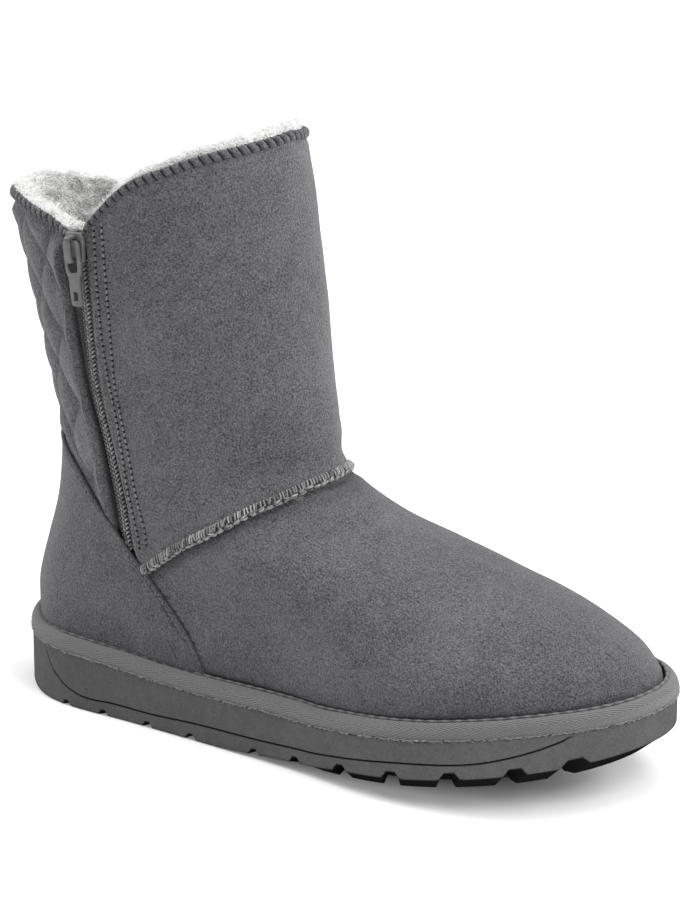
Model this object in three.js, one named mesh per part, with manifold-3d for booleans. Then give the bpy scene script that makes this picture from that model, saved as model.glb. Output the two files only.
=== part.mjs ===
// Mid-height winter boot, right foot, with a side zip on the lateral (-Y) side.
// Millimetres. +X runs from heel to toe, +Y to the medial side, +Z up.
import * as THREE from "three";
import { mergeVertices } from "three/addons/utils/BufferGeometryUtils.js";
import Module from "manifold-3d";

const wasm = await Module();
wasm.setup();

// ---- driving dimensions -------------------------------------------------------------------
const SOLE_LENGTH = 280;
const GAP = 0.3;
const SHAFT_TOP = 238;

// Frame: the heel's back is at x = 0 while building; the finished part is moved by this much.
const FRAME_SHIFT = new THREE.Vector3(-139.05, 1.67, 0);

// Sole plan. Half-widths of the plan's ellipse, by share of the way from heel to toe.
const PLAN = {
  columns: ["share", "lateral", "medial"],
  rows: [
    [0, 57, 62],
    [1 / 6, 61, 60],
    [1 / 3, 45, 43],
    [1 / 2, 45.5, 37.5],
    [2 / 3, 66, 53],
    [5 / 6, 78, 68],
    [1, 80, 70],
  ],
};
const SWING = { start: 110, reach: 12.5, power: 2.2 };
const TOE_SPRING = { start: 160, rise: 17.5, power: 1.15 };
const EDGE_BEVEL = { start: 105, end: 180, height: 5.4 };
const HEEL_BEVEL = { length: 18, height: 1.6, power: 1.5 };

// Height of the sole's top above the tread's flat, by distance from the heel.
const SOLE_TOP = {
  columns: ["x", "height"],
  rows: [
    [0, 25],
    [45, 22.4],
    [100, 19.8],
    [150, 21.1],
    [210, 21],
    [280, 19.3],
  ],
};

// Notches along the tread's edge, the same on both sides.
const NOTCHES = {
  columns: ["x", "mouth", "roof", "height"],
  rows: [
    [35.5, 3.0, 1.6, 2.2],
    [55, 3.2, 1.7, 2.2],
    [77, 3.4, 1.8, 2.3],
    [98, 3.8, 2.0, 2.4],
    [131, 4.2, 2.2, 2.6],
    [151.5, 4.8, 2.6, 2.8],
    [172.5, 5.6, 3.0, 3.0],
    [195, 6.4, 3.4, 3.1],
    [219, 7.0, 3.8, 3.1],
    [242, 7.6, 4.2, 3.1],
    [260, 8.2, 4.6, 3.1],
  ],
};
const TREAD_GROOVE = { outer: 15, inner: 19, depth: 3, wall: 0.6 };
const TREAD_CROSS_GROOVES = [68, 92, 116, 178, 202, 226];
const CROSS_GROOVE_WIDTH = 4;

// Upper: level sections. Back and front ends, oval half-widths, share of the sole's plan in the
// section's outline, and how far the front end is drawn in to a point.
const SECTIONS = {
  columns: ["z", "back", "front", "lateral", "medial", "planShare", "nose"],
  rows: [
    [28, 3.5, 282, 46, 44, 1, 0],
    [36, 3.5, 278, 46, 44, 1, 0],
    [44, 4, 272.5, 46, 44, 0.97, 0.02],
    [52, 6, 266.5, 46, 44, 0.9, 0.06],
    [62, 9, 251.5, 45, 43.5, 0.75, 0.16],
    [74, 13, 221, 44, 43, 0.55, 0.26],
    [88, 17, 173.5, 42, 41.5, 0.35, 0.3],
    [104, 18.5, 143, 40.5, 40, 0.15, 0.2],
    [122, 16, 139, 40.5, 40, 0.03, 0.05],
    [145, 11.5, 134, 42.5, 42, 0, 0],
    [175, 4.5, 130.5, 45, 44.5, 0, 0],
    [205, -3.5, 126, 46.5, 46, 0, 0],
    [240, -9, 120.5, 47.5, 47, 0, 0],
  ],
};
// Height of the collar's edge round the shaft, by share of the way from back to front.
const COLLAR = {
  columns: ["share", "lateral", "medial"],
  rows: [
    [0, 205, 205],
    [0.12, 205.5, 203],
    [0.24, 206.5, 200],
    [0.31, 204.6, 198],
    [0.37, 203, 198.5],
    [0.42, 199.5, 200],
    [0.455, 198, 203],
    [0.49, 205, 207],
    [0.52, 210.5, 211.5],
    [0.58, 220.3, 219.5],
    [0.67, 228, 227],
    [0.74, 232.3, 231],
    [0.85, 235.8, 234.5],
    [1, SHAFT_TOP, SHAFT_TOP],
  ],
};
// Wall of the upper with its fleece, by height.
const WALL = {
  columns: ["z", "thickness"],
  rows: [
    [30, 4.6],
    [90, 5.2],
    [130, 6.5],
    [SHAFT_TOP, 6.5],
  ],
};
const UPPER_INSET = 4.7;
const FEATHER_RISE = 6.2;
const FADE_HEIGHT = 30;

// Wrapped strip round the sole's top edge: profile as inset from the sole's side and rise.
const STRIP = {
  columns: ["inset", "rise"],
  rows: [
    [4.4, GAP],
    [4.4, 6.2],
    [3.2, 6.9],
    [1.2, 6.4],
    [-0.6, 5.2],
    [-1.6, 3.6],
    [-1.4, 1.9],
    [-0.3, GAP],
  ],
};
const INSOLE = { thickness: 4.5, clearance: 1, softEdge: 2 };

// Heel counter: its upper edge, seen from the side.
const COUNTER = { skin: 1.2, lowest: 7.3 };
const COUNTER_EDGE = {
  columns: ["x", "z"],
  rows: [
    [-20, 112],
    [12, 111],
    [29, 107.5],
    [41, 100.5],
    [50, 91.5],
    [59, 82],
    [68, 72.5],
    [78, 62.5],
    [88, 51.5],
    [96.5, 41],
    [103, 29],
  ],
};

// Zip: its line on the lateral side, from the counter up to the collar.
const ZIP_LINE = {
  columns: ["z", "x"],
  rows: [
    [66, 68],
    [76, 66.7],
    [90, 65.4],
    [102, 62.9],
    [112, 60.5],
    [125, 56.9],
    [138, 54.9],
    [152, 54.6],
    [175, 54.3],
    [204, 52.8],
  ],
};
const ZIP = {
  low: 71,
  high: 196,
  slotWidth: 9,
  slotDepth: 3.5,
  tapeWidth: 8.4,
  tapeTop: -1.9,
  tapeBottom: -3.2,
  coilWidth: 4.4,
  coilTop: -0.1,
};
const SLIDER = { z: 194, bottom: 0.3, top: 2.3, bridgeWidth: 2.2, bridgeClear: 2.9, bridgeBar: 1.4 };
const PULL = { pivotAlong: 2.7, barHalf: 0.75, thickness: 1.4, eyeWidth: 8, eyeOpening: 4.6 };

// ---- tables -------------------------------------------------------------------------------
function column(table, name) {
  const index = table.columns.indexOf(name);
  return table.rows.map((row) => row[index]);
}

// Smooth curve through a table's rows (cubic between rows, level beyond the ends).
function lookUp(table, name, at) {
  const xs = column(table, table.columns[0]);
  const ys = column(table, name);
  const last = xs.length - 1;
  const x = Math.min(Math.max(at, xs[0]), xs[last]);
  const rise = (i) => (ys[i + 1] - ys[i]) / (xs[i + 1] - xs[i]);
  const slope = (i) => {
    if (i === 0) return rise(0);
    if (i === last) return rise(last - 1);
    const before = xs[i] - xs[i - 1];
    const after = xs[i + 1] - xs[i];
    return (rise(i - 1) * after + rise(i) * before) / (before + after);
  };
  let i = 0;
  while (i < last - 1 && x > xs[i + 1]) i += 1;
  const step = xs[i + 1] - xs[i];
  const s = (x - xs[i]) / step;
  const s2 = s * s;
  const s3 = s2 * s;
  return (
    (2 * s3 - 3 * s2 + 1) * ys[i] +
    (s3 - 2 * s2 + s) * step * slope(i) +
    (3 * s2 - 2 * s3) * ys[i + 1] +
    (s3 - s2) * step * slope(i + 1)
  );
}

function smoothStep(value) {
  const s = Math.min(Math.max(value, 0), 1);
  return s * s * (3 - 2 * s);
}

// ---- the last: plan, sole heights and level sections ---------------------------------------
// Every ring of points runs round the boot: share 0 is the heel's back, 1 is the toe's tip,
// side -1 is lateral and +1 is medial.
function swing(x) {
  const share = Math.min(Math.max((x - SWING.start) / (SOLE_LENGTH - SWING.start), 0), 1);
  return SWING.reach * share ** SWING.power;
}

function sideName(side) {
  return side < 0 ? "lateral" : "medial";
}

function planPoint(side, share, inset) {
  const x = inset + ((SOLE_LENGTH - 2 * inset) * (1 - Math.cos(Math.PI * share))) / 2;
  const half = lookUp(PLAN, sideName(side), share) - inset;
  return new THREE.Vector2(x, side * half * Math.sin(Math.PI * share) + swing(x));
}

function toeSpring(x) {
  const share = Math.max((x - TOE_SPRING.start) / (SOLE_LENGTH - TOE_SPRING.start), 0);
  return TOE_SPRING.rise * share ** TOE_SPRING.power;
}

function soleTop(x) {
  return toeSpring(x) + lookUp(SOLE_TOP, "height", x);
}

function edgeBottom(x) {
  const share = (x - EDGE_BEVEL.start) / (EDGE_BEVEL.end - EDGE_BEVEL.start);
  const heel = Math.max(1 - x / HEEL_BEVEL.length, 0) ** HEEL_BEVEL.power;
  return toeSpring(x) + EDGE_BEVEL.height * smoothStep(share) + HEEL_BEVEL.height * heel;
}

function sectionPoint(side, share, z) {
  const back = lookUp(SECTIONS, "back", z);
  const front = lookUp(SECTIONS, "front", z);
  const planShare = lookUp(SECTIONS, "planShare", z);
  const nose = lookUp(SECTIONS, "nose", z);
  const plan = lookUp(PLAN, sideName(side), share) - UPPER_INSET;
  const oval = lookUp(SECTIONS, sideName(side), z);
  const x = back + ((front - back) * (1 - Math.cos(Math.PI * share))) / 2;
  const half = planShare * plan + (1 - planShare) * oval;
  const point = 1 - nose * smoothStep((share - 0.45) / 0.55);
  return new THREE.Vector2(x, side * half * Math.sin(Math.PI * share) * point + swing(x));
}

function featherHeight(side, share) {
  return soleTop(planPoint(side, share, UPPER_INSET).x) + FEATHER_RISE;
}

// Outer face of the upper. Near the feather line the section fades into the sole's plan.
function upperPoint(side, share, z) {
  const feather = featherHeight(side, share);
  const foot = planPoint(side, share, UPPER_INSET);
  const section = sectionPoint(side, share, Math.max(z, feather));
  const atFeather = sectionPoint(side, share, feather);
  const fade = 1 - smoothStep((z - feather) / FADE_HEIGHT);
  return new THREE.Vector3(
    section.x + (foot.x - atFeather.x) * fade,
    section.y + (foot.y - atFeather.y) * fade,
    z,
  );
}

// The face moved along its own outward normal.
function upperOffset(side, share, z, distance) {
  const step = 1e-3;
  const low = upperPoint(side, share, z - 0.5);
  const high = upperPoint(side, share, z + 0.5);
  const before = upperPoint(side, Math.max(share - step, 0), z);
  const after = upperPoint(side, Math.min(share + step, 1), z);
  const around = after.sub(before);
  if (share <= 0) around.set(0, side, 0);
  if (share >= 1) around.set(0, -side, 0);
  const normal = new THREE.Vector3().crossVectors(around, high.sub(low));
  normal.multiplyScalar(-side).normalize();
  return upperPoint(side, share, z).addScaledVector(normal, distance);
}

function collarHeight(side, share) {
  return lookUp(COLLAR, sideName(side), share);
}

function wallAt(z) {
  return lookUp(WALL, "thickness", z);
}

// ---- meshing helpers ----------------------------------------------------------------------
const HALF_COLUMNS = 25;

// Ring of points round the boot, from a function of side and share.
function ring(pointAt) {
  const points = [];
  for (let i = 0; i < 2 * HALF_COLUMNS; i += 1) {
    const lateral = i <= HALF_COLUMNS;
    const share = lateral ? i / HALF_COLUMNS : 2 - i / HALF_COLUMNS;
    points.push(pointAt(lateral ? -1 : 1, share));
  }
  return points;
}

function quad(triangles, a, b, c, d) {
  triangles.push(a, b, c, a, c, d);
}

// Closed body from rings of equal length. Rings run from the inside of the first cap to the
// last one, or close into a loop. "across" caps join the two sides of a boot-shaped ring.
function bodyFromRings(rings, { loop = false, cap = "across" } = {}) {
  const count = rings[0].length;
  const triangles = [];
  const bands = loop ? rings.length : rings.length - 1;
  for (let r = 0; r < bands; r += 1) {
    const low = r * count;
    const high = ((r + 1) % rings.length) * count;
    for (let i = 0; i < count; i += 1) {
      const next = (i + 1) % count;
      quad(triangles, low + i, low + next, high + next, high + i);
    }
  }
  if (!loop) {
    addCap(triangles, 0, count, cap, true);
    addCap(triangles, (rings.length - 1) * count, count, cap, false);
  }
  const positions = rings.flat().flatMap((p) => [p.x, p.y, p.z]);
  return solidFrom(positions, triangles);
}

function addCap(triangles, start, count, kind, under) {
  const add = (a, b, c) => {
    if (under) triangles.push(start + a, start + c, start + b);
    else triangles.push(start + a, start + b, start + c);
  };
  if (kind === "fan") {
    for (let i = 1; i < count - 1; i += 1) add(0, i, i + 1);
    return;
  }
  const half = count / 2;
  add(0, 1, count - 1);
  for (let i = 1; i < half - 1; i += 1) {
    add(i, i + 1, count - i - 1);
    add(i, count - i - 1, count - i);
  }
  add(half - 1, half, half + 1);
}

function solidFrom(positions, triangles) {
  const mesh = new wasm.Mesh({
    numProp: 3,
    vertProperties: new Float32Array(positions),
    triVerts: new Uint32Array(triangles),
  });
  return new wasm.Manifold(mesh);
}

function solidFromGeometry(geometry) {
  const bare = geometry.clone();
  bare.deleteAttribute("normal");
  bare.deleteAttribute("uv");
  const merged = mergeVertices(bare, 1e-4);
  return solidFrom(merged.attributes.position.array, merged.index.array);
}

// Box-like body from eight corners: four of one end in order, then four of the other.
function hexahedron(corners) {
  return bodyFromRings([corners.slice(0, 4), corners.slice(4)], { cap: "fan" });
}

// Right-handed set of axes on the lateral face: across the zip, up along it, and outward.
function zipFrame(z) {
  const here = zipPoint(z, 0);
  const along = zipPoint(z + 1, 0).sub(zipPoint(z - 1, 0)).normalize();
  const outward = zipPoint(z, 1).sub(here).normalize();
  const across = new THREE.Vector3().crossVectors(along, outward).normalize();
  const square = new THREE.Vector3().crossVectors(across, along).normalize();
  return { origin: here, across, along, outward: square };
}

function zipPoint(z, distance) {
  const back = lookUp(SECTIONS, "back", z);
  const front = lookUp(SECTIONS, "front", z);
  const x = lookUp(ZIP_LINE, "x", z);
  const share = Math.acos(1 - (2 * (x - back)) / (front - back)) / Math.PI;
  return upperOffset(-1, share, z, distance);
}

function frameMatrix(frame) {
  const matrix = new THREE.Matrix4().makeBasis(frame.across, frame.along, frame.outward);
  return matrix.setPosition(frame.origin);
}

// Sweep of a closed profile (pairs of across, outward) along the zip.
function zipSweep(profile, low, high, stations) {
  const rings = [];
  for (let k = 0; k <= stations; k += 1) {
    const frame = zipFrame(low + ((high - low) * k) / stations);
    rings.push(
      profile.map(([across, outward]) =>
        frame.origin
          .clone()
          .addScaledVector(frame.across, across)
          .addScaledVector(frame.outward, outward),
      ),
    );
  }
  return bodyFromRings(rings, { cap: "fan" });
}

// ---- sole, strip and insole ---------------------------------------------------------------
function planRing(inset, heightAt) {
  return ring((side, share) => {
    const p = planPoint(side, share, inset);
    return new THREE.Vector3(p.x, p.y, heightAt(p.x));
  });
}

function notchCutter(side, row) {
  const [x, mouth, roof, height] = row;
  const share = Math.acos(1 - (2 * x) / SOLE_LENGTH) / Math.PI;
  const edge = planPoint(side, share, 0);
  const before = planPoint(side, share - 0.01, 0);
  const along = planPoint(side, share + 0.01, 0).sub(before).normalize();
  const inward = new THREE.Vector2(along.y, -along.x).multiplyScalar(side);
  const depthBelow = 2;
  const ends = [-4, (TREAD_GROOVE.outer + TREAD_GROOVE.inner) / 2];
  const flare = (mouth - roof) / height;
  const corners = ends.flatMap((reach, end) => {
    const centre = edge.clone().addScaledVector(inward, reach);
    const floor = end === 0 ? edgeBottom(edge.x) : toeSpring(centre.x);
    const roofZ = end === 0 ? floor + height : floor + TREAD_GROOVE.depth;
    const low = floor - depthBelow;
    const wide = mouth / 2 + flare * depthBelow * 0.5;
    const at = (offset, z) =>
      new THREE.Vector3(centre.x + along.x * offset, centre.y + along.y * offset, z);
    return [at(-wide, low), at(wide, low), at(roof / 2, roofZ), at(-roof / 2, roofZ)];
  });
  return orientated(hexahedron(corners));
}

// Turns a body the right way out when its corners were listed the other way round.
function orientated(solid) {
  if (solid.volume() > 0) return solid;
  const mesh = solid.getMesh();
  const triangles = Uint32Array.from(mesh.triVerts);
  for (let i = 0; i < triangles.length; i += 3) {
    [triangles[i + 1], triangles[i + 2]] = [triangles[i + 2], triangles[i + 1]];
  }
  return solidFrom(mesh.vertProperties, triangles);
}

function crossGrooveCutter(x) {
  const inside = (TREAD_GROOVE.outer + TREAD_GROOVE.inner) / 2;
  const share = Math.acos(1 - (2 * x) / SOLE_LENGTH) / Math.PI;
  const lateral = planPoint(-1, share, inside).y;
  const medial = planPoint(1, share, inside).y;
  const box = new THREE.BoxGeometry(CROSS_GROOVE_WIDTH, medial - lateral, 2 * TREAD_GROOVE.depth);
  box.translate(x, (medial + lateral) / 2, toeSpring(x));
  return solidFromGeometry(box);
}

function buildOutsole() {
  const groove = TREAD_GROOVE;
  const roof = (x) => toeSpring(x) + groove.depth;
  const bevelInset = 9;
  const cornerChamfer = 0.8;
  const rings = [
    planRing(groove.inner, toeSpring),
    planRing(groove.inner - groove.wall, roof),
    planRing(groove.outer + groove.wall, roof),
    planRing(groove.outer, toeSpring),
    planRing(bevelInset, toeSpring),
    planRing(cornerChamfer, edgeBottom),
    planRing(0, (x) => edgeBottom(x) + cornerChamfer),
    planRing(0, (x) => soleTop(x)),
  ];
  let sole = orientated(bodyFromRings(rings));
  for (const row of NOTCHES.rows) {
    sole = sole.subtract(notchCutter(-1, row)).subtract(notchCutter(1, row));
  }
  for (const x of TREAD_CROSS_GROOVES) sole = sole.subtract(crossGrooveCutter(x));
  return sole;
}

function buildStrip() {
  const rings = STRIP.rows.map(([inset, rise]) => planRing(inset, (x) => soleTop(x) + rise));
  return orientated(bodyFromRings(rings, { loop: true }));
}

function buildInsole() {
  const inset = UPPER_INSET + wallAt(30) + INSOLE.clearance;
  const top = GAP + INSOLE.thickness;
  const rings = [
    planRing(inset, (x) => soleTop(x) + GAP),
    planRing(inset, (x) => soleTop(x) + top - INSOLE.softEdge),
    planRing(inset + INSOLE.softEdge, (x) => soleTop(x) + top),
  ];
  return orientated(bodyFromRings(rings));
}

// ---- upper, counter and zip ---------------------------------------------------------------
function heightBetween(side, share, rowShare) {
  const low = featherHeight(side, share);
  return low + (collarHeight(side, share) - low) * rowShare;
}

function buildUpper() {
  const outerRows = 25;
  const innerRows = 19;
  const rings = [planRing(UPPER_INSET, (x) => soleTop(x) + GAP)];
  for (let r = 0; r <= outerRows; r += 1) {
    const rowShare = (r / outerRows) ** 1.15;
    rings.push(ring((side, share) => upperPoint(side, share, heightBetween(side, share, rowShare))));
  }
  for (let r = innerRows; r >= 0; r -= 1) {
    const rowShare = (r / innerRows) ** 1.15;
    rings.push(
      ring((side, share) => {
        const z = heightBetween(side, share, rowShare);
        const point = upperOffset(side, share, z, -wallAt(z));
        if (r === innerRows) point.z = z;
        return point;
      }),
    );
  }
  rings.push(planRing(UPPER_INSET + wallAt(30), (x) => soleTop(x) + GAP));
  const body = orientated(bodyFromRings(rings, { loop: true }));
  const half = ZIP.slotWidth / 2;
  const slot = zipSweep(
    [
      [-half, -ZIP.slotDepth],
      [half, -ZIP.slotDepth],
      [half, 4],
      [-half, 4],
    ],
    ZIP.low - GAP,
    ZIP.high + 12,
    22,
  );
  return body.subtract(orientated(slot));
}

// Filled form on the upper's own face, moved outward, from the strip to above the counter.
function filledForm(distance) {
  const rings = [];
  const rows = 16;
  const topHeight = 125;
  for (let r = 0; r <= rows; r += 1) {
    rings.push(
      ring((side, share) => {
        const low = featherHeight(side, share) - 2;
        return upperOffset(side, share, low + ((topHeight - low) * r) / rows, distance);
      }),
    );
  }
  return orientated(bodyFromRings(rings));
}

function buildCounter() {
  const outline = new THREE.Shape();
  const steps = 24;
  const lastX = COUNTER_EDGE.rows[COUNTER_EDGE.rows.length - 1][0];
  const firstX = COUNTER_EDGE.rows[0][0];
  for (let k = 0; k <= steps; k += 1) {
    const x = firstX + ((lastX - firstX) * k) / steps;
    const z = lookUp(COUNTER_EDGE, "z", x);
    if (k === 0) outline.moveTo(x, z);
    else outline.lineTo(x, z);
  }
  for (let k = steps; k >= 0; k -= 1) {
    const x = firstX + ((lastX - firstX) * k) / steps;
    outline.lineTo(x, soleTop(Math.max(x, 0)) + COUNTER.lowest);
  }
  const depth = 140;
  const prism = new THREE.ExtrudeGeometry(outline, { depth, bevelEnabled: false });
  prism.rotateX(Math.PI / 2);
  prism.translate(0, depth / 2, 0);
  const outer = filledForm(GAP + COUNTER.skin);
  const inner = filledForm(GAP);
  return outer.subtract(inner).intersect(orientated(solidFromGeometry(prism)));
}

function buildZipChain() {
  const tape = ZIP.tapeWidth / 2;
  const coil = ZIP.coilWidth / 2;
  const shoulder = 0.7;
  const profile = [
    [-tape, ZIP.tapeBottom],
    [tape, ZIP.tapeBottom],
    [tape, ZIP.tapeTop],
    [coil, ZIP.tapeTop],
    [coil, ZIP.coilTop - shoulder],
    [coil - shoulder, ZIP.coilTop],
    [shoulder - coil, ZIP.coilTop],
    [-coil, ZIP.coilTop - shoulder],
    [-coil, ZIP.tapeTop],
    [-tape, ZIP.tapeTop],
  ];
  return orientated(zipSweep(profile, ZIP.low, ZIP.high, 22));
}

function buildSlider(frame) {
  const plate = new THREE.Shape();
  plate.moveTo(-2.6, -6);
  plate.lineTo(2.6, -6);
  plate.quadraticCurveTo(3.4, -6, 3.6, -5);
  plate.lineTo(4.5, 1.2);
  plate.quadraticCurveTo(4.7, 5.4, 3.4, 6);
  plate.lineTo(-3.4, 6);
  plate.quadraticCurveTo(-4.7, 5.4, -4.5, 1.2);
  plate.lineTo(-3.6, -5);
  plate.quadraticCurveTo(-3.4, -6, -2.6, -6);
  const body = new THREE.ExtrudeGeometry(plate, {
    depth: SLIDER.top - SLIDER.bottom,
    bevelEnabled: false,
    curveSegments: 4,
  });
  body.translate(0, 0, SLIDER.bottom);

  const under = SLIDER.top + SLIDER.bridgeClear;
  const over = under + SLIDER.bridgeBar;
  const sunk = SLIDER.top - 0.5;
  const arch = new THREE.Shape();
  arch.moveTo(-5.4, sunk);
  arch.lineTo(-5.4, under - 0.4);
  arch.quadraticCurveTo(-5.4, over, -3.4, over);
  arch.lineTo(3.4, over);
  arch.quadraticCurveTo(5.4, over, 5.4, under - 0.4);
  arch.lineTo(5.4, sunk);
  arch.lineTo(4, sunk);
  arch.lineTo(4, under - 0.6);
  arch.lineTo(3.4, under);
  arch.lineTo(-3.4, under);
  arch.lineTo(-4, under - 0.6);
  arch.lineTo(-4, sunk);
  arch.lineTo(-5.4, sunk);
  const bridge = new THREE.ExtrudeGeometry(arch, {
    depth: SLIDER.bridgeWidth,
    bevelEnabled: false,
    curveSegments: 4,
  });
  // The arch is drawn along the zip and outward; its depth lies across the zip.
  const turn = new THREE.Matrix4().makeBasis(
    new THREE.Vector3(0, 1, 0),
    new THREE.Vector3(0, 0, 1),
    new THREE.Vector3(1, 0, 0),
  );
  bridge.applyMatrix4(turn);
  bridge.translate(-SLIDER.bridgeWidth / 2, 0, 0);
  body.applyMatrix4(frameMatrix(frame));
  bridge.applyMatrix4(frameMatrix(frame));
  return orientated(solidFromGeometry(body)).add(orientated(solidFromGeometry(bridge)));
}

function pullPivot(frame) {
  return frame.origin
    .clone()
    .addScaledVector(frame.along, PULL.pivotAlong)
    .addScaledVector(frame.outward, SLIDER.top + SLIDER.bridgeClear / 2);
}

function buildPull(frame) {
  const half = PULL.eyeWidth / 2;
  const bar = PULL.barHalf;
  const plate = new THREE.Shape();
  plate.moveTo(-half + 1.6, bar);
  plate.lineTo(half - 1.6, bar);
  plate.quadraticCurveTo(half, bar - 0.2, half, -2.4);
  plate.lineTo(half, -9.6);
  plate.quadraticCurveTo(half - 0.1, -12.6, 2.9, -14);
  plate.lineTo(2.6, -24.4);
  plate.quadraticCurveTo(2.5, -25.6, 1.4, -25.6);
  plate.lineTo(-1.4, -25.6);
  plate.quadraticCurveTo(-2.5, -25.6, -2.6, -24.4);
  plate.lineTo(-2.9, -14);
  plate.quadraticCurveTo(-half + 0.1, -12.6, -half, -9.6);
  plate.lineTo(-half, -2.4);
  plate.quadraticCurveTo(-half, bar - 0.2, -half + 1.6, bar);
  const open = PULL.eyeOpening / 2;
  const eye = new THREE.Path();
  eye.moveTo(-open + 0.6, -bar);
  eye.lineTo(-open, -bar - 0.8);
  eye.lineTo(-open, -10.4);
  eye.quadraticCurveTo(-open + 0.2, -12.2, 0, -12.2);
  eye.quadraticCurveTo(open - 0.2, -12.2, open, -10.4);
  eye.lineTo(open, -bar - 0.8);
  eye.lineTo(open - 0.6, -bar);
  eye.lineTo(-open + 0.6, -bar);
  const window = new THREE.Path();
  window.moveTo(-1.1, -19.8);
  window.lineTo(-1.1, -23.2);
  window.lineTo(1.1, -23.2);
  window.lineTo(1.1, -19.8);
  window.lineTo(-1.1, -19.8);
  plate.holes.push(eye, window);
  const pull = new THREE.ExtrudeGeometry(plate, {
    depth: PULL.thickness,
    bevelEnabled: false,
    curveSegments: 5,
  });
  pull.translate(0, 0, -PULL.thickness / 2);
  const placed = frameMatrix({ ...frame, origin: pullPivot(frame) });
  pull.applyMatrix4(placed);
  return orientated(solidFromGeometry(pull));
}

// ---- assembly -----------------------------------------------------------------------------
function meshOf(name, solid, colour, roughness, metalness = 0) {
  const mesh = solid.getMesh();
  const geometry = new THREE.BufferGeometry();
  geometry.setAttribute("position", new THREE.BufferAttribute(mesh.vertProperties, 3));
  geometry.setIndex(new THREE.BufferAttribute(mesh.triVerts, 1));
  geometry.translate(FRAME_SHIFT.x, FRAME_SHIFT.y, FRAME_SHIFT.z);
  geometry.computeVertexNormals();
  const material = new THREE.MeshStandardMaterial({ color: colour, roughness, metalness });
  const result = new THREE.Mesh(geometry, material);
  result.name = name;
  return result;
}

const sliderFrame = zipFrame(SLIDER.z);
const boot = new THREE.Group();
boot.name = "snow_boot";
boot.add(
  meshOf("outsole", buildOutsole(), 0x606062, 0.7),
  meshOf("sole_strip", buildStrip(), 0x77777a, 0.85),
  meshOf("insole", buildInsole(), 0xc9c7c6, 0.95),
  meshOf("upper", buildUpper(), 0x5b5a5e, 0.95),
  meshOf("heel_counter", buildCounter(), 0x59585c, 0.95),
  meshOf("zip_chain", buildZipChain(), 0x4d4d50, 0.6),
  meshOf("zip_slider", buildSlider(sliderFrame), 0x6d6d70, 0.4, 0.8),
  meshOf("zip_pull", buildPull(sliderFrame), 0x6d6d70, 0.4, 0.8),
);

export default boot;
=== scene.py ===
"""Snow boot, right foot: fine surfaces, sewing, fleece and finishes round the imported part."""

import logging
import math
from abc import ABC, abstractmethod
from collections.abc import Callable, Sequence
from dataclasses import dataclass, field
from enum import Enum

import bmesh
import bpy
import numpy as np
from mathutils import Matrix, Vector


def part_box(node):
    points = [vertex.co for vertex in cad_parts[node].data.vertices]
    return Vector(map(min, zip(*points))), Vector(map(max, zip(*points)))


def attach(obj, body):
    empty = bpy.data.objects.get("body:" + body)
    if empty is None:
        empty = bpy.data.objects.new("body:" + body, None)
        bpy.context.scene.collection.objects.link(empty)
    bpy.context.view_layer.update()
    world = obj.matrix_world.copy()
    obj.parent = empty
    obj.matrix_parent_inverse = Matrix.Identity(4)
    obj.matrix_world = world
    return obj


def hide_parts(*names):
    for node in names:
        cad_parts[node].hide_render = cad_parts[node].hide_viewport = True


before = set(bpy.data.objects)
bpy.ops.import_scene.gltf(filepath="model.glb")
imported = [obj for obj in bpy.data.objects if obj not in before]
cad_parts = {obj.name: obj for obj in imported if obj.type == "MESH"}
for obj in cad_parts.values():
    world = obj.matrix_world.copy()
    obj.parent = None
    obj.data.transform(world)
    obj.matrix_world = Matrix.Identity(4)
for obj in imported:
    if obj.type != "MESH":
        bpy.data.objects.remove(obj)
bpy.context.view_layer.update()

Array = np.ndarray
Rows = tuple[tuple[float, float], ...]
LOG = logging.getLogger("snow_boot")

MM = 0.001
UP = np.array([0.0, 0.0, 1.0])
# Heights of the last's sections.
LEVELS = (28, 36, 44, 52, 62, 74, 88, 104, 122, 145, 175, 205, 240)
# The last is drawn in millimetres with the back of the heel at x = 0.
HEEL_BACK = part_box("outsole")[0].x / MM
LAST_TO_PART = np.array([HEEL_BACK, 1.67, 0.0])


class Body(Enum):
    """Moving bodies of the part."""

    BOOT = "boot"
    PULL = "pull"


class Slot(Enum):
    """Material slots of the part's record."""

    RUBBER = "sole_rubber"
    STRIP = "strip_textile"
    FLEECE = "fleece"
    SUEDE = "suede"
    ZIP_TAPE = "zip_tape"
    ZIP_METAL = "zip_metal"


# ---- small mathematics ---------------------------------------------------------------------
def smooth_step(value: Array) -> Array:
    """Rises from 0 to 1 as value does, level at both ends (3s^2 - 2s^3)."""
    share = np.clip(value, 0.0, 1.0)
    return share * share * (3.0 - 2.0 * share)


def hump(value: Array, width: float) -> Array:
    """Bell of height 1 round 0: exp(-(value / width)^2)."""
    return np.exp(-((value / width) ** 2))


def unit(vectors: Array) -> Array:
    """Vectors scaled to length 1 along the last axis."""
    return vectors / np.maximum(np.linalg.norm(vectors, axis=-1, keepdims=True), 1e-12)


def soft_noise(points: Array, wavelength: float, seed: int, waves: int = 26) -> Array:
    """Smooth random field: the sum of sine waves in random directions, about -1 to 1.

    Args:
        points: Places in millimetres, shape (..., 3).
        wavelength: Middle wavelength in millimetres.
        seed: Seed of the directions and phases.
        waves: Number of waves.

    Returns:
        One value for each point.
    """
    rng = np.random.default_rng(seed)
    turns = 2.0 * math.pi / (wavelength * rng.uniform(0.7, 1.4, waves))
    vectors = unit(rng.normal(size=(waves, 3))) * turns[:, None]
    phases = rng.uniform(0.0, 2.0 * math.pi, waves)
    return np.sin(points @ vectors.T + phases).sum(-1) / math.sqrt(2.0 * waves)


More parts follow.
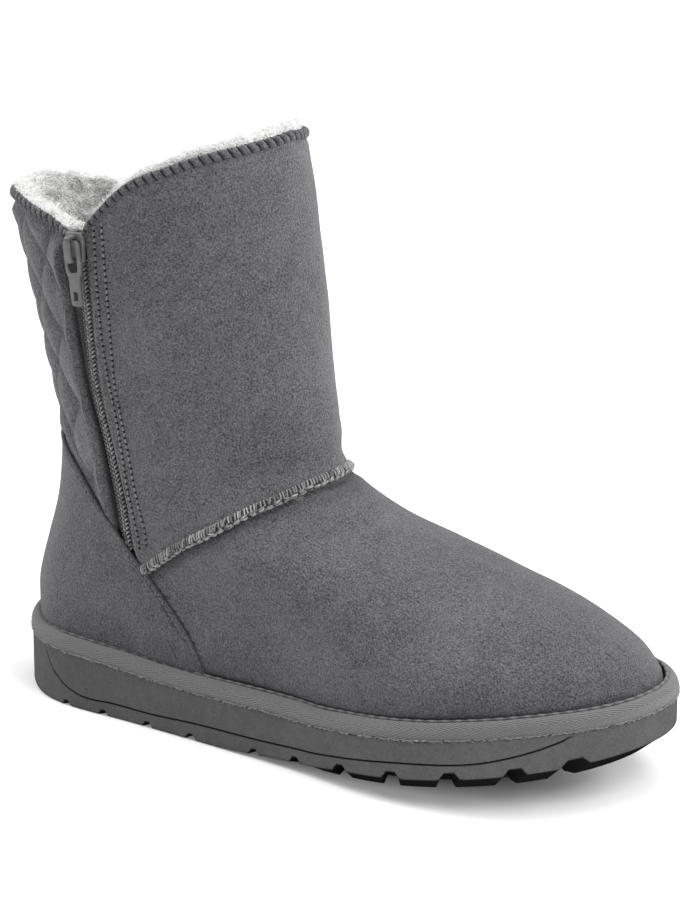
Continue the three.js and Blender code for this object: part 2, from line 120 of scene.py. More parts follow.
@dataclass(frozen=True)
class Curve:
    """Smooth curve through rows of (place, value), level beyond its ends."""

    rows: Rows

    def __call__(self, place: Array | float) -> Array:
        """Cubic between rows; a row's slope is the weighted mean of the rises beside it.

        Args:
            place: Where to read the curve.

        Returns:
            The curve's values, in the shape of place.
        """
        xs, ys = np.array(self.rows, float).T
        x = np.clip(place, xs[0], xs[-1])
        step = np.diff(xs)
        rise = np.diff(ys) / step
        inner = (rise[:-1] * step[1:] + rise[1:] * step[:-1]) / (step[1:] + step[:-1])
        slope = np.concatenate([rise[:1], inner, rise[-1:]])
        i = np.clip(np.searchsorted(xs, x) - 1, 0, len(step) - 1)
        s = (x - xs[i]) / step[i]
        s2, s3 = s * s, s * s * s
        return (
            (2 * s3 - 3 * s2 + 1) * ys[i]
            + (s3 - 2 * s2 + s) * step[i] * slope[i]
            + (3 * s2 - 2 * s3) * ys[i + 1]
            + (s3 - s2) * step[i] * slope[i + 1]
        )


def over_levels(*values: float) -> Curve:
    """Curve through values at the heights of the last's sections."""
    return Curve(tuple(zip(LEVELS, values)))


def loop_lengths(points: Array) -> tuple[Array, float]:
    """Arc length at each point of a closed line, as the running sum of its steps.

    Args:
        points: Points of the line, shape (n, 3).

    Returns:
        Lengths at the points, and the whole length.
    """
    steps = np.linalg.norm(np.diff(points, axis=0, append=points[:1]), axis=-1)
    return np.concatenate([[0.0], np.cumsum(steps)[:-1]]), float(steps.sum())


def both_sides(half: int) -> tuple[Array, Array]:
    """Ring of columns: forwards along the lateral side, then back along the medial side.

    Args:
        half: Steps on each side.

    Returns:
        Sides (-1 or 1) and shares of the way from back to front.
    """
    share = np.concatenate([np.linspace(0, 1, half + 1), np.linspace(1, 0, half + 1)[1:-1]])
    return np.concatenate([-np.ones(half + 1), np.ones(half - 1)]), share


def bisect(target: Callable[[Array], Array], low: Array, high: Array, rounds: int = 26) -> Array:
    """Root of a rising function between low and high, found by halving for all places at once.

    Args:
        target: Function of an array, negative below the root.
        low: Lower ends.
        high: Upper ends.
        rounds: Number of halvings.

    Returns:
        The roots.
    """
    for _ in range(rounds):
        middle = (low + high) / 2.0
        below = target(middle) < 0.0
        low = np.where(below, middle, low)
        high = np.where(below, high, middle)
    return (low + high) / 2.0


# ---- the last ------------------------------------------------------------------------------
@dataclass(frozen=True)
class Last:
    """Form of the boot in millimetres.

    A place on it is a side (-1 lateral, +1 medial), a share of the way from the heel's back
    (0) to the toe's tip (1), and a height.
    """

    length: float = 280.0
    inset: float = 4.7
    feather_rise: float = 6.2
    fade: float = 30.0
    plan_lateral: Curve = Curve(
        ((0, 57), (1 / 6, 61), (1 / 3, 45), (1 / 2, 45.5), (2 / 3, 66), (5 / 6, 78), (1, 80))
    )
    plan_medial: Curve = Curve(
        ((0, 62), (1 / 6, 60), (1 / 3, 43), (1 / 2, 37.5), (2 / 3, 53), (5 / 6, 68), (1, 70))
    )
    sole_height: Curve = Curve(
        ((0, 23.8), (45, 22.3), (100, 19.8), (150, 21.1), (210, 21), (255, 19.9), (280, 17.0))
    )
    back: Curve = over_levels(3.5, 3.5, 4, 6, 9, 13, 17, 18.5, 16, 11.5, 4.5, -3.5, -9)
    front: Curve = over_levels(282, 278, 272.5, 266.5, 251.5, 221, 173.5, 143, 139, 134, 130.5, 126, 120.5)
    oval_lateral: Curve = over_levels(46, 46, 46, 46, 45, 44, 42, 40.5, 40.5, 42.5, 45, 46.5, 47.5)
    oval_medial: Curve = over_levels(44, 44, 44, 44, 43.5, 43, 41.5, 40, 40, 42, 44.5, 46, 47)
    plan_share: Curve = over_levels(1, 1, 0.97, 0.9, 0.75, 0.55, 0.35, 0.15, 0.03, 0, 0, 0, 0)
    nose: Curve = over_levels(0, 0, 0.02, 0.06, 0.16, 0.26, 0.3, 0.2, 0.05, 0, 0, 0, 0)
    collar_lateral: Curve = Curve(
        (
            (0, 205), (0.12, 205.5), (0.24, 206.5), (0.31, 204.6), (0.37, 203), (0.42, 199.5),
            (0.455, 198), (0.49, 205), (0.52, 210.5), (0.58, 220.3), (0.67, 228),
            (0.74, 232.3), (0.85, 235.8), (1, 238),
        )
    )  # fmt: skip
    collar_medial: Curve = Curve(
        (
            (0, 205), (0.12, 203), (0.24, 200), (0.31, 198), (0.37, 198.5), (0.42, 200),
            (0.455, 203), (0.49, 207), (0.52, 211.5), (0.58, 219.5), (0.67, 227),
            (0.74, 231), (0.85, 234.5), (1, 238),
        )
    )  # fmt: skip
    wall: Curve = Curve(((30, 4.6), (90, 5.2), (130, 6.5), (238, 6.5)))
    counter_edge: Curve = Curve(
        (
            (-20, 112), (12, 111), (29, 107.5), (41, 100.5), (50, 91.5), (59, 82),
            (68, 72.5), (78, 62.5), (88, 51.5), (96.5, 41), (103, 29), (107, 20),
        )
    )  # fmt: skip

    def swing(self, x: Array) -> Array:
        """Sideways turn of the toe to the medial side, 12.5 mm at the tip."""
        return 12.5 * np.clip((x - 110.0) / (self.length - 110.0), 0.0, 1.0) ** 2.2

    def toe_spring(self, x: Array) -> Array:
        """Rise of the tread towards the toe, 17.5 mm at the tip."""
        return 17.5 * np.maximum((x - 160.0) / (self.length - 160.0), 0.0) ** 1.15

    def sole_top(self, x: Array) -> Array:
        """Height of the sole's top: the toe spring and the sole's own thickness."""
        return self.toe_spring(x) + self.sole_height(x)

    def edge_bottom(self, x: Array) -> Array:
        """Height of the side wall's lower edge, raised by the bevels of forefoot and heel."""
        heel = 1.6 * np.maximum(1.0 - x / 18.0, 0.0) ** 1.5
        return self.toe_spring(x) + 5.4 * smooth_step((x - 105.0) / 75.0) + heel

    def plan(self, side: Array, share: Array, inset: float) -> tuple[Array, Array]:
        """Sole outline moved inwards: half an ellipse whose half-width changes along it.

        Args:
            side: -1 or 1.
            share: Share of the way from heel to toe.
            inset: Distance inside the sole's edge.

        Returns:
            x and y.
        """
        x = inset + (self.length - 2 * inset) * (1 - np.cos(np.pi * share)) / 2
        half = np.where(side < 0, self.plan_lateral(share), self.plan_medial(share)) - inset
        return x, side * half * np.sin(np.pi * share) + self.swing(x)

    def section(self, side: Array, share: Array, z: Array) -> tuple[Array, Array]:
        """Level section of the upper: between the sole's plan and an oval, drawn to a nose.

        Args:
            side: -1 or 1.
            share: Share of the way from back to front.
            z: Height.

        Returns:
            x and y.
        """
        back, front = self.back(z), self.front(z)
        plan = np.where(side < 0, self.plan_lateral(share), self.plan_medial(share)) - self.inset
        oval = np.where(side < 0, self.oval_lateral(z), self.oval_medial(z))
        x = back + (front - back) * (1 - np.cos(np.pi * share)) / 2
        mixed = self.plan_share(z) * plan + (1 - self.plan_share(z)) * oval
        point = 1 - self.nose(z) * smooth_step((share - 0.45) / 0.55)
        return x, side * mixed * np.sin(np.pi * share) * point + self.swing(x)

    def feather(self, side: Array, share: Array) -> Array:
        """Height where the upper leaves the strip."""
        return self.sole_top(self.plan(side, share, self.inset)[0]) + self.feather_rise

    def collar(self, side: Array, share: Array) -> Array:
        """Height of the collar's edge."""
        return np.where(side < 0, self.collar_lateral(share), self.collar_medial(share))

    def face(self, side: Array, share: Array, z: Array) -> Array:
        """Plain outer face: the level section, faded into the sole's plan near the strip.

        Args:
            side: -1 or 1.
            share: Share of the way from back to front.
            z: Height.

        Returns:
            Points, shape (..., 3).
        """
        side, share, z = np.broadcast_arrays(side, share, z)
        feather = self.feather(side, share)
        foot_x, foot_y = self.plan(side, share, self.inset)
        x, y = self.section(side, share, np.maximum(z, feather))
        low_x, low_y = self.section(side, share, feather)
        fade = 1 - smooth_step((z - feather) / self.fade)
        return np.stack([x + (foot_x - low_x) * fade, y + (foot_y - low_y) * fade, z], -1)

    def normal(self, side: Array, share: Array, z: Array) -> Array:
        """Outward normal of the plain face: the cross product of its two tangents.

        Args:
            side: -1 or 1.
            share: Share of the way from back to front.
            z: Height.

        Returns:
            Unit vectors, shape (..., 3).
        """
        side, share, z = np.broadcast_arrays(side, share, z)
        step = 1e-3
        up = self.face(side, share, z + 0.5) - self.face(side, share, z - 0.5)
        after = self.face(side, np.minimum(share + step, 1.0), z)
        around = after - self.face(side, np.maximum(share - step, 0.0), z)
        flat = np.stack([np.zeros_like(z, float), side * np.ones_like(z, float), 0.0 * z], -1)
        around = np.where((share <= 0)[..., None], flat, around)
        around = np.where((share >= 1)[..., None], -flat, around)
        return unit(np.cross(around, up) * -side[..., None])

    def share_at(self, side: Array, x: Array, z: Array) -> Array:
        """Share of the place on the plain face that has this x at this height."""
        low, high = np.zeros(np.shape(x)), np.ones(np.shape(x))
        return bisect(lambda share: self.face(side, share, z)[..., 0] - x, low, high)

    def height_on(self, side: Array, share: Array, line: Curve, low: float, high: float) -> Array:
        """Height at which a column of the face meets a line drawn on it as z from x.

        Args:
            side: -1 or 1.
            share: Shares of the columns.
            line: Height of the line, from x.
            low: Lowest height to look at.
            high: Highest height to look at.

        Returns:
            Heights.
        """
        side, share = np.broadcast_arrays(side, share)
        ends = np.full(share.shape, low), np.full(share.shape, high)
        return bisect(lambda z: z - line(self.face(side, share, z)[..., 0]), *ends)


LAST = Last()


# ---- meshes --------------------------------------------------------------------------------
@dataclass
class Skin:
    """Points in the last's millimetres with their faces, before they become a mesh."""

    points: Array
    faces: list[Array]
    marks: dict[str, Array] = field(default_factory=dict)
    uv: Array | None = None

    def joined(self, other: "Skin") -> "Skin":
        """This skin and another as one, with the point marks both have.

        Args:
            other: The other skin.

        Returns:
            The joined skin.
        """
        moved = [f + len(self.points) for f in other.faces]
        shared = self.marks.keys() & other.marks.keys()
        marks = {key: np.concatenate([self.marks[key], other.marks[key]]) for key in shared}
        points = np.concatenate([self.points, other.points])
        return Skin(points, self.faces + moved, marks)

    def mesh(self, name: str) -> bpy.types.Mesh:
        """Blender mesh of the skin, in metres in the part's frame.

        Args:
            name: Name of the mesh.

        Returns:
            The mesh, smooth shaded.
        """
        made = bpy.data.meshes.new(name)
        corners = np.concatenate([f.ravel() for f in self.faces]).astype(np.int32)
        sizes = np.concatenate([np.full(len(f), f.shape[1]) for f in self.faces])
        starts = np.concatenate([[0], np.cumsum(sizes)[:-1]]).astype(np.int32)
        made.vertices.add(len(self.points))
        made.loops.add(len(corners))
        made.polygons.add(len(sizes))
        placed = (self.points + LAST_TO_PART) * MM
        made.vertices.foreach_set("co", placed.astype(np.float32).ravel())
        made.loops.foreach_set("vertex_index", corners)
        made.polygons.foreach_set("loop_start", starts)
        made.polygons.foreach_set("use_smooth", np.ones(len(sizes), bool))
        made.update(calc_edges=True)
        if self.uv is not None:
            layer = made.uv_layers.new(name="cloth")
            layer.data.foreach_set("uv", self.uv.astype(np.float32).ravel())
        for key, values in self.marks.items():
            attribute = made.attributes.new(key, "FLOAT", "POINT")
            attribute.data.foreach_set("value", values.astype(np.float32).ravel())
        made.validate()
        return made


def grid_faces(rows: int, columns: int, wrap_rows: bool = False, wrap_columns: bool = True) -> Array:
    """Quads of a grid of points, facing out where columns run round and rows run up.

    Args:
        rows: Number of rows.
        columns: Number of columns.
        wrap_rows: Whether the last row joins the first.
        wrap_columns: Whether the last column joins the first.

    Returns:
        Indices, shape (faces, 4).
    """
    r = np.arange(rows if wrap_rows else rows - 1)[:, None]
    c = np.arange(columns if wrap_columns else columns - 1)[None, :]
    r, c = np.broadcast_arrays(r, c)
    above, beside = (r + 1) % rows, (c + 1) % columns
    low, high = r * columns, above * columns
    return np.stack([low + c, low + beside, high + beside, high + c], -1).reshape(-1, 4)


def skin_of(grid: Array, wrap_rows: bool = True, wrap_columns: bool = True) -> Skin:
    """Skin of a grid of points; a grid that doesn't wrap its rows gets its two end faces.

    Args:
        grid: Points, shape (rows, columns, 3).
        wrap_rows: Whether the last row joins the first.
        wrap_columns: Whether the last column joins the first.

    Returns:
        The skin.
    """
    rows, columns = grid.shape[:2]
    faces = [grid_faces(rows, columns, wrap_rows, wrap_columns)]
    if not wrap_rows:
        faces += [np.arange(columns)[None, ::-1], np.arange(columns)[None] + (rows - 1) * columns]
    if not wrap_columns:
        first = np.arange(rows)[None] * columns
        faces += [first, first[:, ::-1] + columns - 1]
    return Skin(grid.reshape(-1, 3), faces)


def tubes(paths: Array, radii: Array, sides: int = 6, tone: Array | None = None) -> Skin:
    """Round tubes along many short paths: a ring of points square to the path at each station.

    Args:
        paths: Stations of each tube, shape (tubes, stations, 3).
        radii: Radius at each station, shape that broadcasts to (tubes, stations).
        sides: Points in a ring.
        tone: One value for each tube, kept as an attribute.

    Returns:
        All tubes as one skin, closed at both ends.
    """
    count, stations = paths.shape[:2]
    along = unit(np.gradient(paths, axis=1))
    lean = np.array([0.31, 0.52, 0.79])
    a = unit(np.cross(along, lean))
    b = np.cross(along, a)
    turn = 2.0 * math.pi * np.arange(sides) / sides
    radii = np.broadcast_to(radii, (count, stations))[..., None, None]
    ring = a[:, :, None] * np.cos(turn)[:, None] + b[:, :, None] * np.sin(turn)[:, None]
    points = paths[:, :, None] + radii * ring
    each = stations * sides
    start = (np.arange(count) * each)[:, None, None]
    wall = (grid_faces(stations, sides)[None] + start).reshape(-1, 4)
    caps = np.stack([np.arange(sides)[::-1], np.arange(sides) + each - sides])
    ends = (caps[None] + start).reshape(-1, sides)
    marks = {} if tone is None else {"tone": np.repeat(tone, each)}
    return Skin(points.reshape(-1, 3), [wall, ends], marks)


def corner_places(rows: int, columns: int) -> tuple[Array, Array]:
    """Row and column of every corner of a grid's quads, in the order of their faces.

    Args:
        rows: Rows of quads.
        columns: Columns of quads.

    Returns:
        Rows and columns, each of shape (quads, 4).
    """
    r, c = np.meshgrid(np.arange(rows), np.arange(columns), indexing="ij")
    return r.reshape(-1, 1) + np.array([0, 0, 1, 1]), c.reshape(-1, 1) + np.array([0, 1, 1, 0])


def weld(mesh: bpy.types.Mesh) -> None:
    """Merges points that lie on each other, and turns the faces the same way.

    Args:
        mesh: The mesh to change.
    """
    work = bmesh.new()
    work.from_mesh(mesh)
    bmesh.ops.remove_doubles(work, verts=work.verts, dist=2e-6)
    bmesh.ops.recalc_face_normals(work, faces=work.faces)
    work.to_mesh(mesh)
    work.free()


@dataclass(frozen=True)
class Route:
    """Line drawn on a surface: its points, outward normals and arc length."""

    points: Array
    normals: Array

    def lengths(self) -> Array:
        """Arc length at each point."""
        steps = np.linalg.norm(np.diff(self.points, axis=0), axis=-1)
        return np.concatenate([[0.0], np.cumsum(steps)])

    def at(self, places: Array) -> tuple[Array, Array, Array]:
        """Points, tangents and normals at given arc lengths.

        Args:
            places: Arc lengths in millimetres.

        Returns:
            Points, unit tangents and unit normals.
        """
        lengths = self.lengths()
        tangents = unit(np.gradient(self.points, axis=0))
        read = [
            np.stack([np.interp(places, lengths, field_[:, k]) for k in range(3)], -1)
            for field_ in (self.points, tangents, self.normals)
        ]
        return read[0], unit(read[1]), unit(read[2])


@dataclass(frozen=True)
class Sewing:
    """Row of stitches: pitch, stitch length, thread radius and how far the row is pulled in."""

    pitch: float = 2.43
    length: float = 1.35
    radius: float = 0.3
    height: float = 0.12

    def places(self, route: Route) -> Array:
        """Arc lengths of the middles of the stitches."""
        return np.arange(self.pitch / 2, route.lengths()[-1], self.pitch)

    def threads(self, route: Route) -> Skin:
        """Arched threads: each one rises from its two holes as 1 - u^2.

        Args:
            route: Line of the row.

        Returns:
            The threads.
        """
        middle, along, out = (v[:, None] for v in route.at(self.places(route)))
        u = np.linspace(-1.0, 1.0, 6)[None, :, None]
        rise = self.height + self.radius * 1.6 * (1.0 - u**2) - self.radius * 1.6 * u**6
        paths = middle + along * u * self.length / 2 + out * rise
        radii = self.radius * (1.0 - 0.45 * np.abs(u[..., 0]) ** 3)
        rng = np.random.default_rng(len(paths))
        return tubes(paths, radii, 6, rng.uniform(0.5, 1.0, len(paths)))

    def holes(self, route: Route) -> Skin:
        """Painted shade of the needle holes between the stitches: dark flat beads that end just above the
        cloth.

        Args:
            route: Line of the row.

        Returns:
            The beads.
        """
        places = self.places(route) - self.pitch / 2
        middle, _, out = (v[:, None] for v in route.at(places))
        u = np.linspace(-1.0, 1.0, 4)[None, :, None]
        paths = middle + out * (u * 0.2 + self.height * 0.3)
        radii = 0.66 * np.sqrt(1.0 - (0.92 * u[..., 0]) ** 2)
        return tubes(paths, radii, 6)


# ---- finishes ------------------------------------------------------------------------------
Colour = tuple[float, float, float]
DEEP_SHADE: Colour = (0.006, 0.006, 0.006)


class Graph:
    """Adds shader nodes to a tree and links them."""

    def __init__(self, tree: bpy.types.NodeTree) -> None:
        """Keeps the tree.

        Args:
            tree: Tree of a material or of a group.
        """
        self.tree = tree

    def node(self, kind: str, inputs: dict | None = None, **settings: object) -> bpy.types.Node:
        """Adds a node.

        Args:
            kind: Blender's name of the node's type.
            inputs: Values or sockets for its inputs, by name or place.
            settings: The node's own settings.

        Returns:
            The node.
        """
        made = self.tree.nodes.new(kind)
        for key, value in settings.items():
            setattr(made, key, value)
        for key, value in (inputs or {}).items():
            if isinstance(value, bpy.types.NodeSocket):
                self.tree.links.new(value, made.inputs[key])
            else:
                made.inputs[key].default_value = value
        return made

    def math(self, operation: str, *values: object) -> bpy.types.NodeSocket:
        """Output of an arithmetic node on up to three values or sockets."""
        return self.node("ShaderNodeMath", dict(enumerate(values)), operation=operation).outputs[0]

    def noise(self, vector: object, scale: float, detail: float = 2.0) -> bpy.types.NodeSocket:
        """Noise value at a scale in waves per metre."""
        inputs = {"Vector": vector, "Scale": scale, "Detail": detail, "Roughness": 0.55}
        return self.node("ShaderNodeTexNoise", inputs).outputs[0]

    def mix(self, share: object, first: object, second: object) -> bpy.types.NodeSocket:
        """Colour between two colours."""
        inputs = {0: share, 6: first, 7: second}
        return self.node("ShaderNodeMix", inputs, data_type="RGBA", clamp_factor=True).outputs[2]

    def spread(self, value: object, low: float, high: float) -> bpy.types.NodeSocket:
        """Value stretched so that low becomes 0 and high becomes 1."""
        inputs = {"Value": value, "From Min": low, "From Max": high}
        return self.node("ShaderNodeMapRange", inputs).outputs[0]


def new_group(name: str, inputs: dict[str, str], outputs: dict[str, str]) -> tuple[Graph, dict, dict]:
    """Makes an empty shader node group.

    Args:
        name: Name of the group.
        inputs: Socket types by input name.
        outputs: Socket types by output name.

    Returns:
        The group's graph, its input sockets and its output sockets, by name.
    """
    tree = bpy.data.node_groups.new(name, "ShaderNodeTree")
    for key, kind in inputs.items():
        tree.interface.new_socket(name=key, in_out="INPUT", socket_type=kind)
    for key, kind in outputs.items():
        tree.interface.new_socket(name=key, in_out="OUTPUT", socket_type=kind)
    start = tree.nodes.new("NodeGroupInput")
    end = tree.nodes.new("NodeGroupOutput")
    return Graph(tree), {k: start.outputs[k] for k in inputs}, {k: end.inputs[k] for k in outputs}


FLOAT, VECTOR = "NodeSocketFloat", "NodeSocketVector"


def grain_group() -> bpy.types.NodeTree:
    """Group for cloth and rubber: patches, nap and grain mixed into one tone and one height.

    Returns:
        The group, made once.
    """
    name = "nap_and_grain"
    if name in bpy.data.node_groups:
        return bpy.data.node_groups[name]
    sizes = {"Patch Scale": FLOAT, "Nap Scale": FLOAT, "Grain Scale": FLOAT}
    shares = {"Patch": FLOAT, "Nap": FLOAT, "Grain": FLOAT}
    inputs, outputs = {"Vector": VECTOR} | sizes | shares, {"Tone": FLOAT, "Height": FLOAT}
    graph, given, out = new_group(name, inputs, outputs)
    total: object = 0.5
    heights: list[object] = []
    for key, detail in (("Patch", 2.0), ("Nap", 3.0), ("Grain", 2.0)):
        value = graph.noise(given["Vector"], 1.0, detail)
        graph.tree.links.new(given[f"{key} Scale"], value.node.inputs["Scale"])
        centred = graph.math("SUBTRACT", value, 0.5)
        total = graph.math("MULTIPLY_ADD", centred, given[key], total)
        heights.append(value)
    graph.tree.links.new(total, out["Tone"])
    graph.tree.links.new(graph.math("MULTIPLY_ADD", heights[1], 0.5, heights[2]), out["Height"])
    return graph.tree


def weave_group() -> bpy.types.NodeTree:
    """Group for woven tapes: slanted ribs, turned the other way on each side of a middle line.

    Returns:
        The group, made once.
    """
    name = "slanted_ribs"
    if name in bpy.data.node_groups:
        return bpy.data.node_groups[name]
    inputs = {"Vector": VECTOR, "Along": FLOAT, "Across": FLOAT, "Middle": FLOAT}
    graph, given, out = new_group(name, inputs, {"Rib": FLOAT})
    parts = graph.node("ShaderNodeSeparateXYZ", {0: given["Vector"]})
    off = graph.math("SUBTRACT", parts.outputs[1], given["Middle"])
    lean = graph.math("MULTIPLY", graph.math("ABSOLUTE", off), given["Across"])
    turns = graph.math("MULTIPLY_ADD", parts.outputs[0], given["Along"], lean)
    wave = graph.math("SINE", graph.math("MULTIPLY", turns, 2.0 * math.pi))
    graph.tree.links.new(graph.math("MULTIPLY_ADD", wave, 0.5, 0.5), out["Rib"])
    return graph.tree


@dataclass(frozen=True)
class Finish(ABC):
    """Surface finish that makes one material."""

    name: str

    def material(self) -> bpy.types.Material:
        """The finish's material, made once, under a name that no slot of the frame has.

        Returns:
            The material.
        """
        name = f"{self.name}_finish"
        if name in bpy.data.materials:
            return bpy.data.materials[name]
        made = bpy.data.materials.new(name)
        made.use_nodes = True
        made.node_tree.nodes.clear()
        graph = Graph(made.node_tree)
        shader = graph.node("ShaderNodeBsdfPrincipled")
        graph.node("ShaderNodeOutputMaterial", {0: shader.outputs[0]})
        self.dress(graph, shader)
        return made

    @abstractmethod
    def dress(self, graph: Graph, shader: bpy.types.Node) -> None:
        """Feeds the shader.

        Args:
            graph: The material's graph.
            shader: Its principled shader.
        """


def feed(
    graph: Graph,
    shader: bpy.types.Node,
    colour: object,
    height: object,
    depth: float,
    constants: dict[str, float],
) -> None:
    """Links a colour and a bump to a shader and sets its constants.

    Args:
        graph: The material's graph.
        shader: Its principled shader.
        colour: Base colour socket.
        height: Bump height socket.
        depth: Bump depth in metres.
        constants: Values of other inputs, by name.
    """
    for key, value in constants.items():
        shader.inputs[key].default_value = value
    bump = graph.node("ShaderNodeBump", {"Height": height, "Distance": depth, "Strength": 1.0})
    graph.tree.links.new(colour, shader.inputs["Base Color"])
    graph.tree.links.new(bump.outputs[0], shader.inputs["Normal"])


def rgba(colour: Colour) -> tuple[float, float, float, float]:
    """Colour with full alpha."""
    return (*colour, 1.0)


@dataclass(frozen=True)
class Nap(Finish):
    """Brushed or moulded surface: tone from patches, nap and grain, with a soft sheen."""

    dark: Colour = (0.03, 0.029, 0.033)
    light: Colour = (0.16, 0.156, 0.17)
    scales: tuple[float, float, float] = (24.0, 190.0, 1500.0)
    shares: tuple[float, float, float] = (0.5, 0.4, 2.3)
    depth: float = 0.0006
    roughness: float = 0.95
    sheen: float = 0.25
    specular: float = 0.15

    def dress(self, graph: Graph, shader: bpy.types.Node) -> None:
        """Feeds the shader from the grain group, read in object coordinates.

        Args:
            graph: The material's graph.
            shader: Its principled shader.
        """
        place = graph.node("ShaderNodeTexCoord").outputs["Object"]
        keys = ("Patch", "Nap", "Grain")
        given = {f"{key} Scale": scale for key, scale in zip(keys, self.scales)}
        given |= dict(zip(keys, self.shares)) | {"Vector": place}
        grain = graph.node("ShaderNodeGroup", given, node_tree=grain_group())
        tone = graph.mix(grain.outputs["Tone"], rgba(self.dark), rgba(self.light))
        # Painted shade: the mesh's shade attribute darkens the colour towards DEEP_SHADE.
        shade = graph.node("ShaderNodeAttribute", attribute_name="shade").outputs["Fac"]
        tone = graph.mix(shade, tone, rgba(DEEP_SHADE))
        constants = {"Roughness": self.roughness, "Sheen Weight": self.sheen, "Sheen Roughness": 0.4}
        constants["Specular IOR Level"] = self.specular
        feed(graph, shader, tone, grain.outputs["Height"], self.depth, constants)


@dataclass(frozen=True)
class Woven(Finish):
    """Woven tape: slanted ribs from the piece's own cloth coordinates, in millimetres."""

    dark: Colour = (0.07, 0.07, 0.072)
    light: Colour = (0.2, 0.2, 0.204)
    along: float = 0.36
    across: float = 1.1
    middle: float = 11.2
    depth: float = 0.00035

    def dress(self, graph: Graph, shader: bpy.types.Node) -> None:
        """Feeds the shader from the rib group, with fine noise over the ribs.

        Args:
            graph: The material's graph.
            shader: Its principled shader.
        """
        cloth = graph.node("ShaderNodeUVMap", uv_map="cloth").outputs[0]
        wobble = graph.noise(cloth, 0.35, 2.0)
        shift = graph.node("ShaderNodeCombineXYZ", {0: graph.math("MULTIPLY", wobble, 1.6)})
        place = graph.node("ShaderNodeVectorMath", {0: cloth, 1: shift.outputs[0]}, operation="ADD")
        given = {"Along": self.along, "Across": self.across, "Middle": self.middle}
        given["Vector"] = place.outputs[0]
        rib = graph.node("ShaderNodeGroup", given, node_tree=weave_group()).outputs["Rib"]
        fine = graph.noise(cloth, 2.2, 2.0)
        tone = graph.math("MULTIPLY_ADD", fine, 1.3, graph.math("MULTIPLY_ADD", rib, 0.34, -0.3))
        colour = graph.mix(tone, rgba(self.dark), rgba(self.light))
        # Painted shade: the mesh's shade attribute darkens the colour towards DEEP_SHADE.
        shade = graph.node("ShaderNodeAttribute", attribute_name="shade").outputs["Fac"]
        colour = graph.mix(shade, colour, rgba(DEEP_SHADE))
        height = graph.math("MULTIPLY_ADD", fine, 0.5, rib)
        constants = {"Roughness": 0.85, "Sheen Weight": 0.2, "Specular IOR Level": 0.25}
        feed(graph, shader, colour, height, self.depth, constants)


@dataclass(frozen=True)
class Yarn(Finish):
    """Thread, pile or fibre: a colour for each strand from its tone, with fine noise."""

    dark: Colour = (0.05, 0.05, 0.052)
    light: Colour = (0.22, 0.22, 0.225)
    roughness: float = 0.8
    sheen: float = 0.3

    def dress(self, graph: Graph, shader: bpy.types.Node) -> None:
        """Feeds the shader from the strand's tone and a fine noise.

        Args:
            graph: The material's graph.
            shader: Its principled shader.
        """
        place = graph.node("ShaderNodeTexCoord").outputs["Object"]
        strand = graph.node("ShaderNodeAttribute", attribute_name="tone").outputs["Fac"]
        fine = graph.noise(place, 1400.0, 2.0)
        tone = graph.math("ADD", strand, graph.math("MULTIPLY_ADD", fine, 0.6, -0.3))
        colour = graph.mix(tone, rgba(self.dark), rgba(self.light))
        constants = {"Roughness": self.roughness, "Sheen Weight": self.sheen, "Specular IOR Level": 0.2}
        feed(graph, shader, colour, fine, 0.0001, constants)


@dataclass(frozen=True)
class CoatedMetal(Finish):
    """Painted zinc casting: even grey with faint mottling and slightly rubbed high spots."""

    dark: Colour = (0.08, 0.08, 0.082)
    light: Colour = (0.15, 0.15, 0.153)
    roughness: float = 0.42

    def dress(self, graph: Graph, shader: bpy.types.Node) -> None:
        """Feeds the shader from two noises.

        Args:
            graph: The material's graph.
            shader: Its principled shader.
        """
        place = graph.node("ShaderNodeTexCoord").outputs["Object"]
        cloud = graph.noise(place, 260.0, 3.0)
        fine = graph.noise(place, 2400.0, 2.0)
        colour = graph.mix(graph.spread(cloud, 0.3, 0.75), rgba(self.dark), rgba(self.light))
        feed(graph, shader, colour, fine, 0.00003, {"Metallic": 0.25})
        rough = graph.math("MULTIPLY_ADD", cloud, 0.25, self.roughness - 0.12)
        graph.tree.links.new(rough, shader.inputs["Roughness"])


SUEDE = Nap("brushed_suede")
COUNTER_SUEDE = Nap("counter_suede", light=(0.15, 0.146, 0.16))
RUBBER = Nap(
    "sole_rubber",
    dark=(0.062, 0.062, 0.063),
    light=(0.124, 0.124, 0.126),
    scales=(30.0, 240.0, 1500.0),
    shares=(0.55, 0.6, 1.1),
    depth=0.00012,
    roughness=0.9,
    sheen=0.0,
    specular=0.0,
)
FLEECE = Nap(
    "fleece_pile",
    dark=(0.34, 0.337, 0.335),
    light=(0.86, 0.855, 0.85),
    scales=(90.0, 330.0, 1200.0),
    shares=(0.8, 1.0, 1.1),
    depth=0.0012,
    roughness=1.0,
    sheen=0.4,
    specular=0.05,
)
STRIP_CLOTH = Woven("strip_twill")
# Dark woven tape, made near black as the painted shade of the zip's slot it lies in.
TAPE_CLOTH = Woven(
    "zip_tape_cloth",
    dark=(0.006, 0.006, 0.007),
    light=(0.03, 0.03, 0.032),
    along=0.9,
    across=0.9,
    middle=5.0,
)
SEAM_THREAD = Yarn("seam_thread", dark=(0.09, 0.09, 0.092), light=(0.42, 0.415, 0.41))
SIDE_THREAD = Yarn("side_stitch_thread", dark=(0.07, 0.07, 0.072), light=(0.21, 0.208, 0.212))
# Dark thread, made near black as the painted shade of the rim's grooves it lies in.
WHIP_THREAD = Yarn(
    "collar_whip_thread", dark=(0.012, 0.012, 0.013), light=(0.05, 0.05, 0.052), sheen=0.0
)
SUEDE_THREAD = Yarn("suede_thread", dark=(0.06, 0.06, 0.062), light=(0.16, 0.158, 0.165))
HOLE_SHADE = Yarn("needle_hole", dark=(0.006, 0.006, 0.007), light=(0.02, 0.02, 0.021), sheen=0.0)
COIL_PLASTIC = Yarn("zip_coil", dark=(0.03, 0.03, 0.032), light=(0.31, 0.31, 0.313), roughness=0.45)
FRAY_THREAD = Yarn("strip_fray_thread", dark=(0.07, 0.07, 0.071), light=(0.27, 0.268, 0.265))
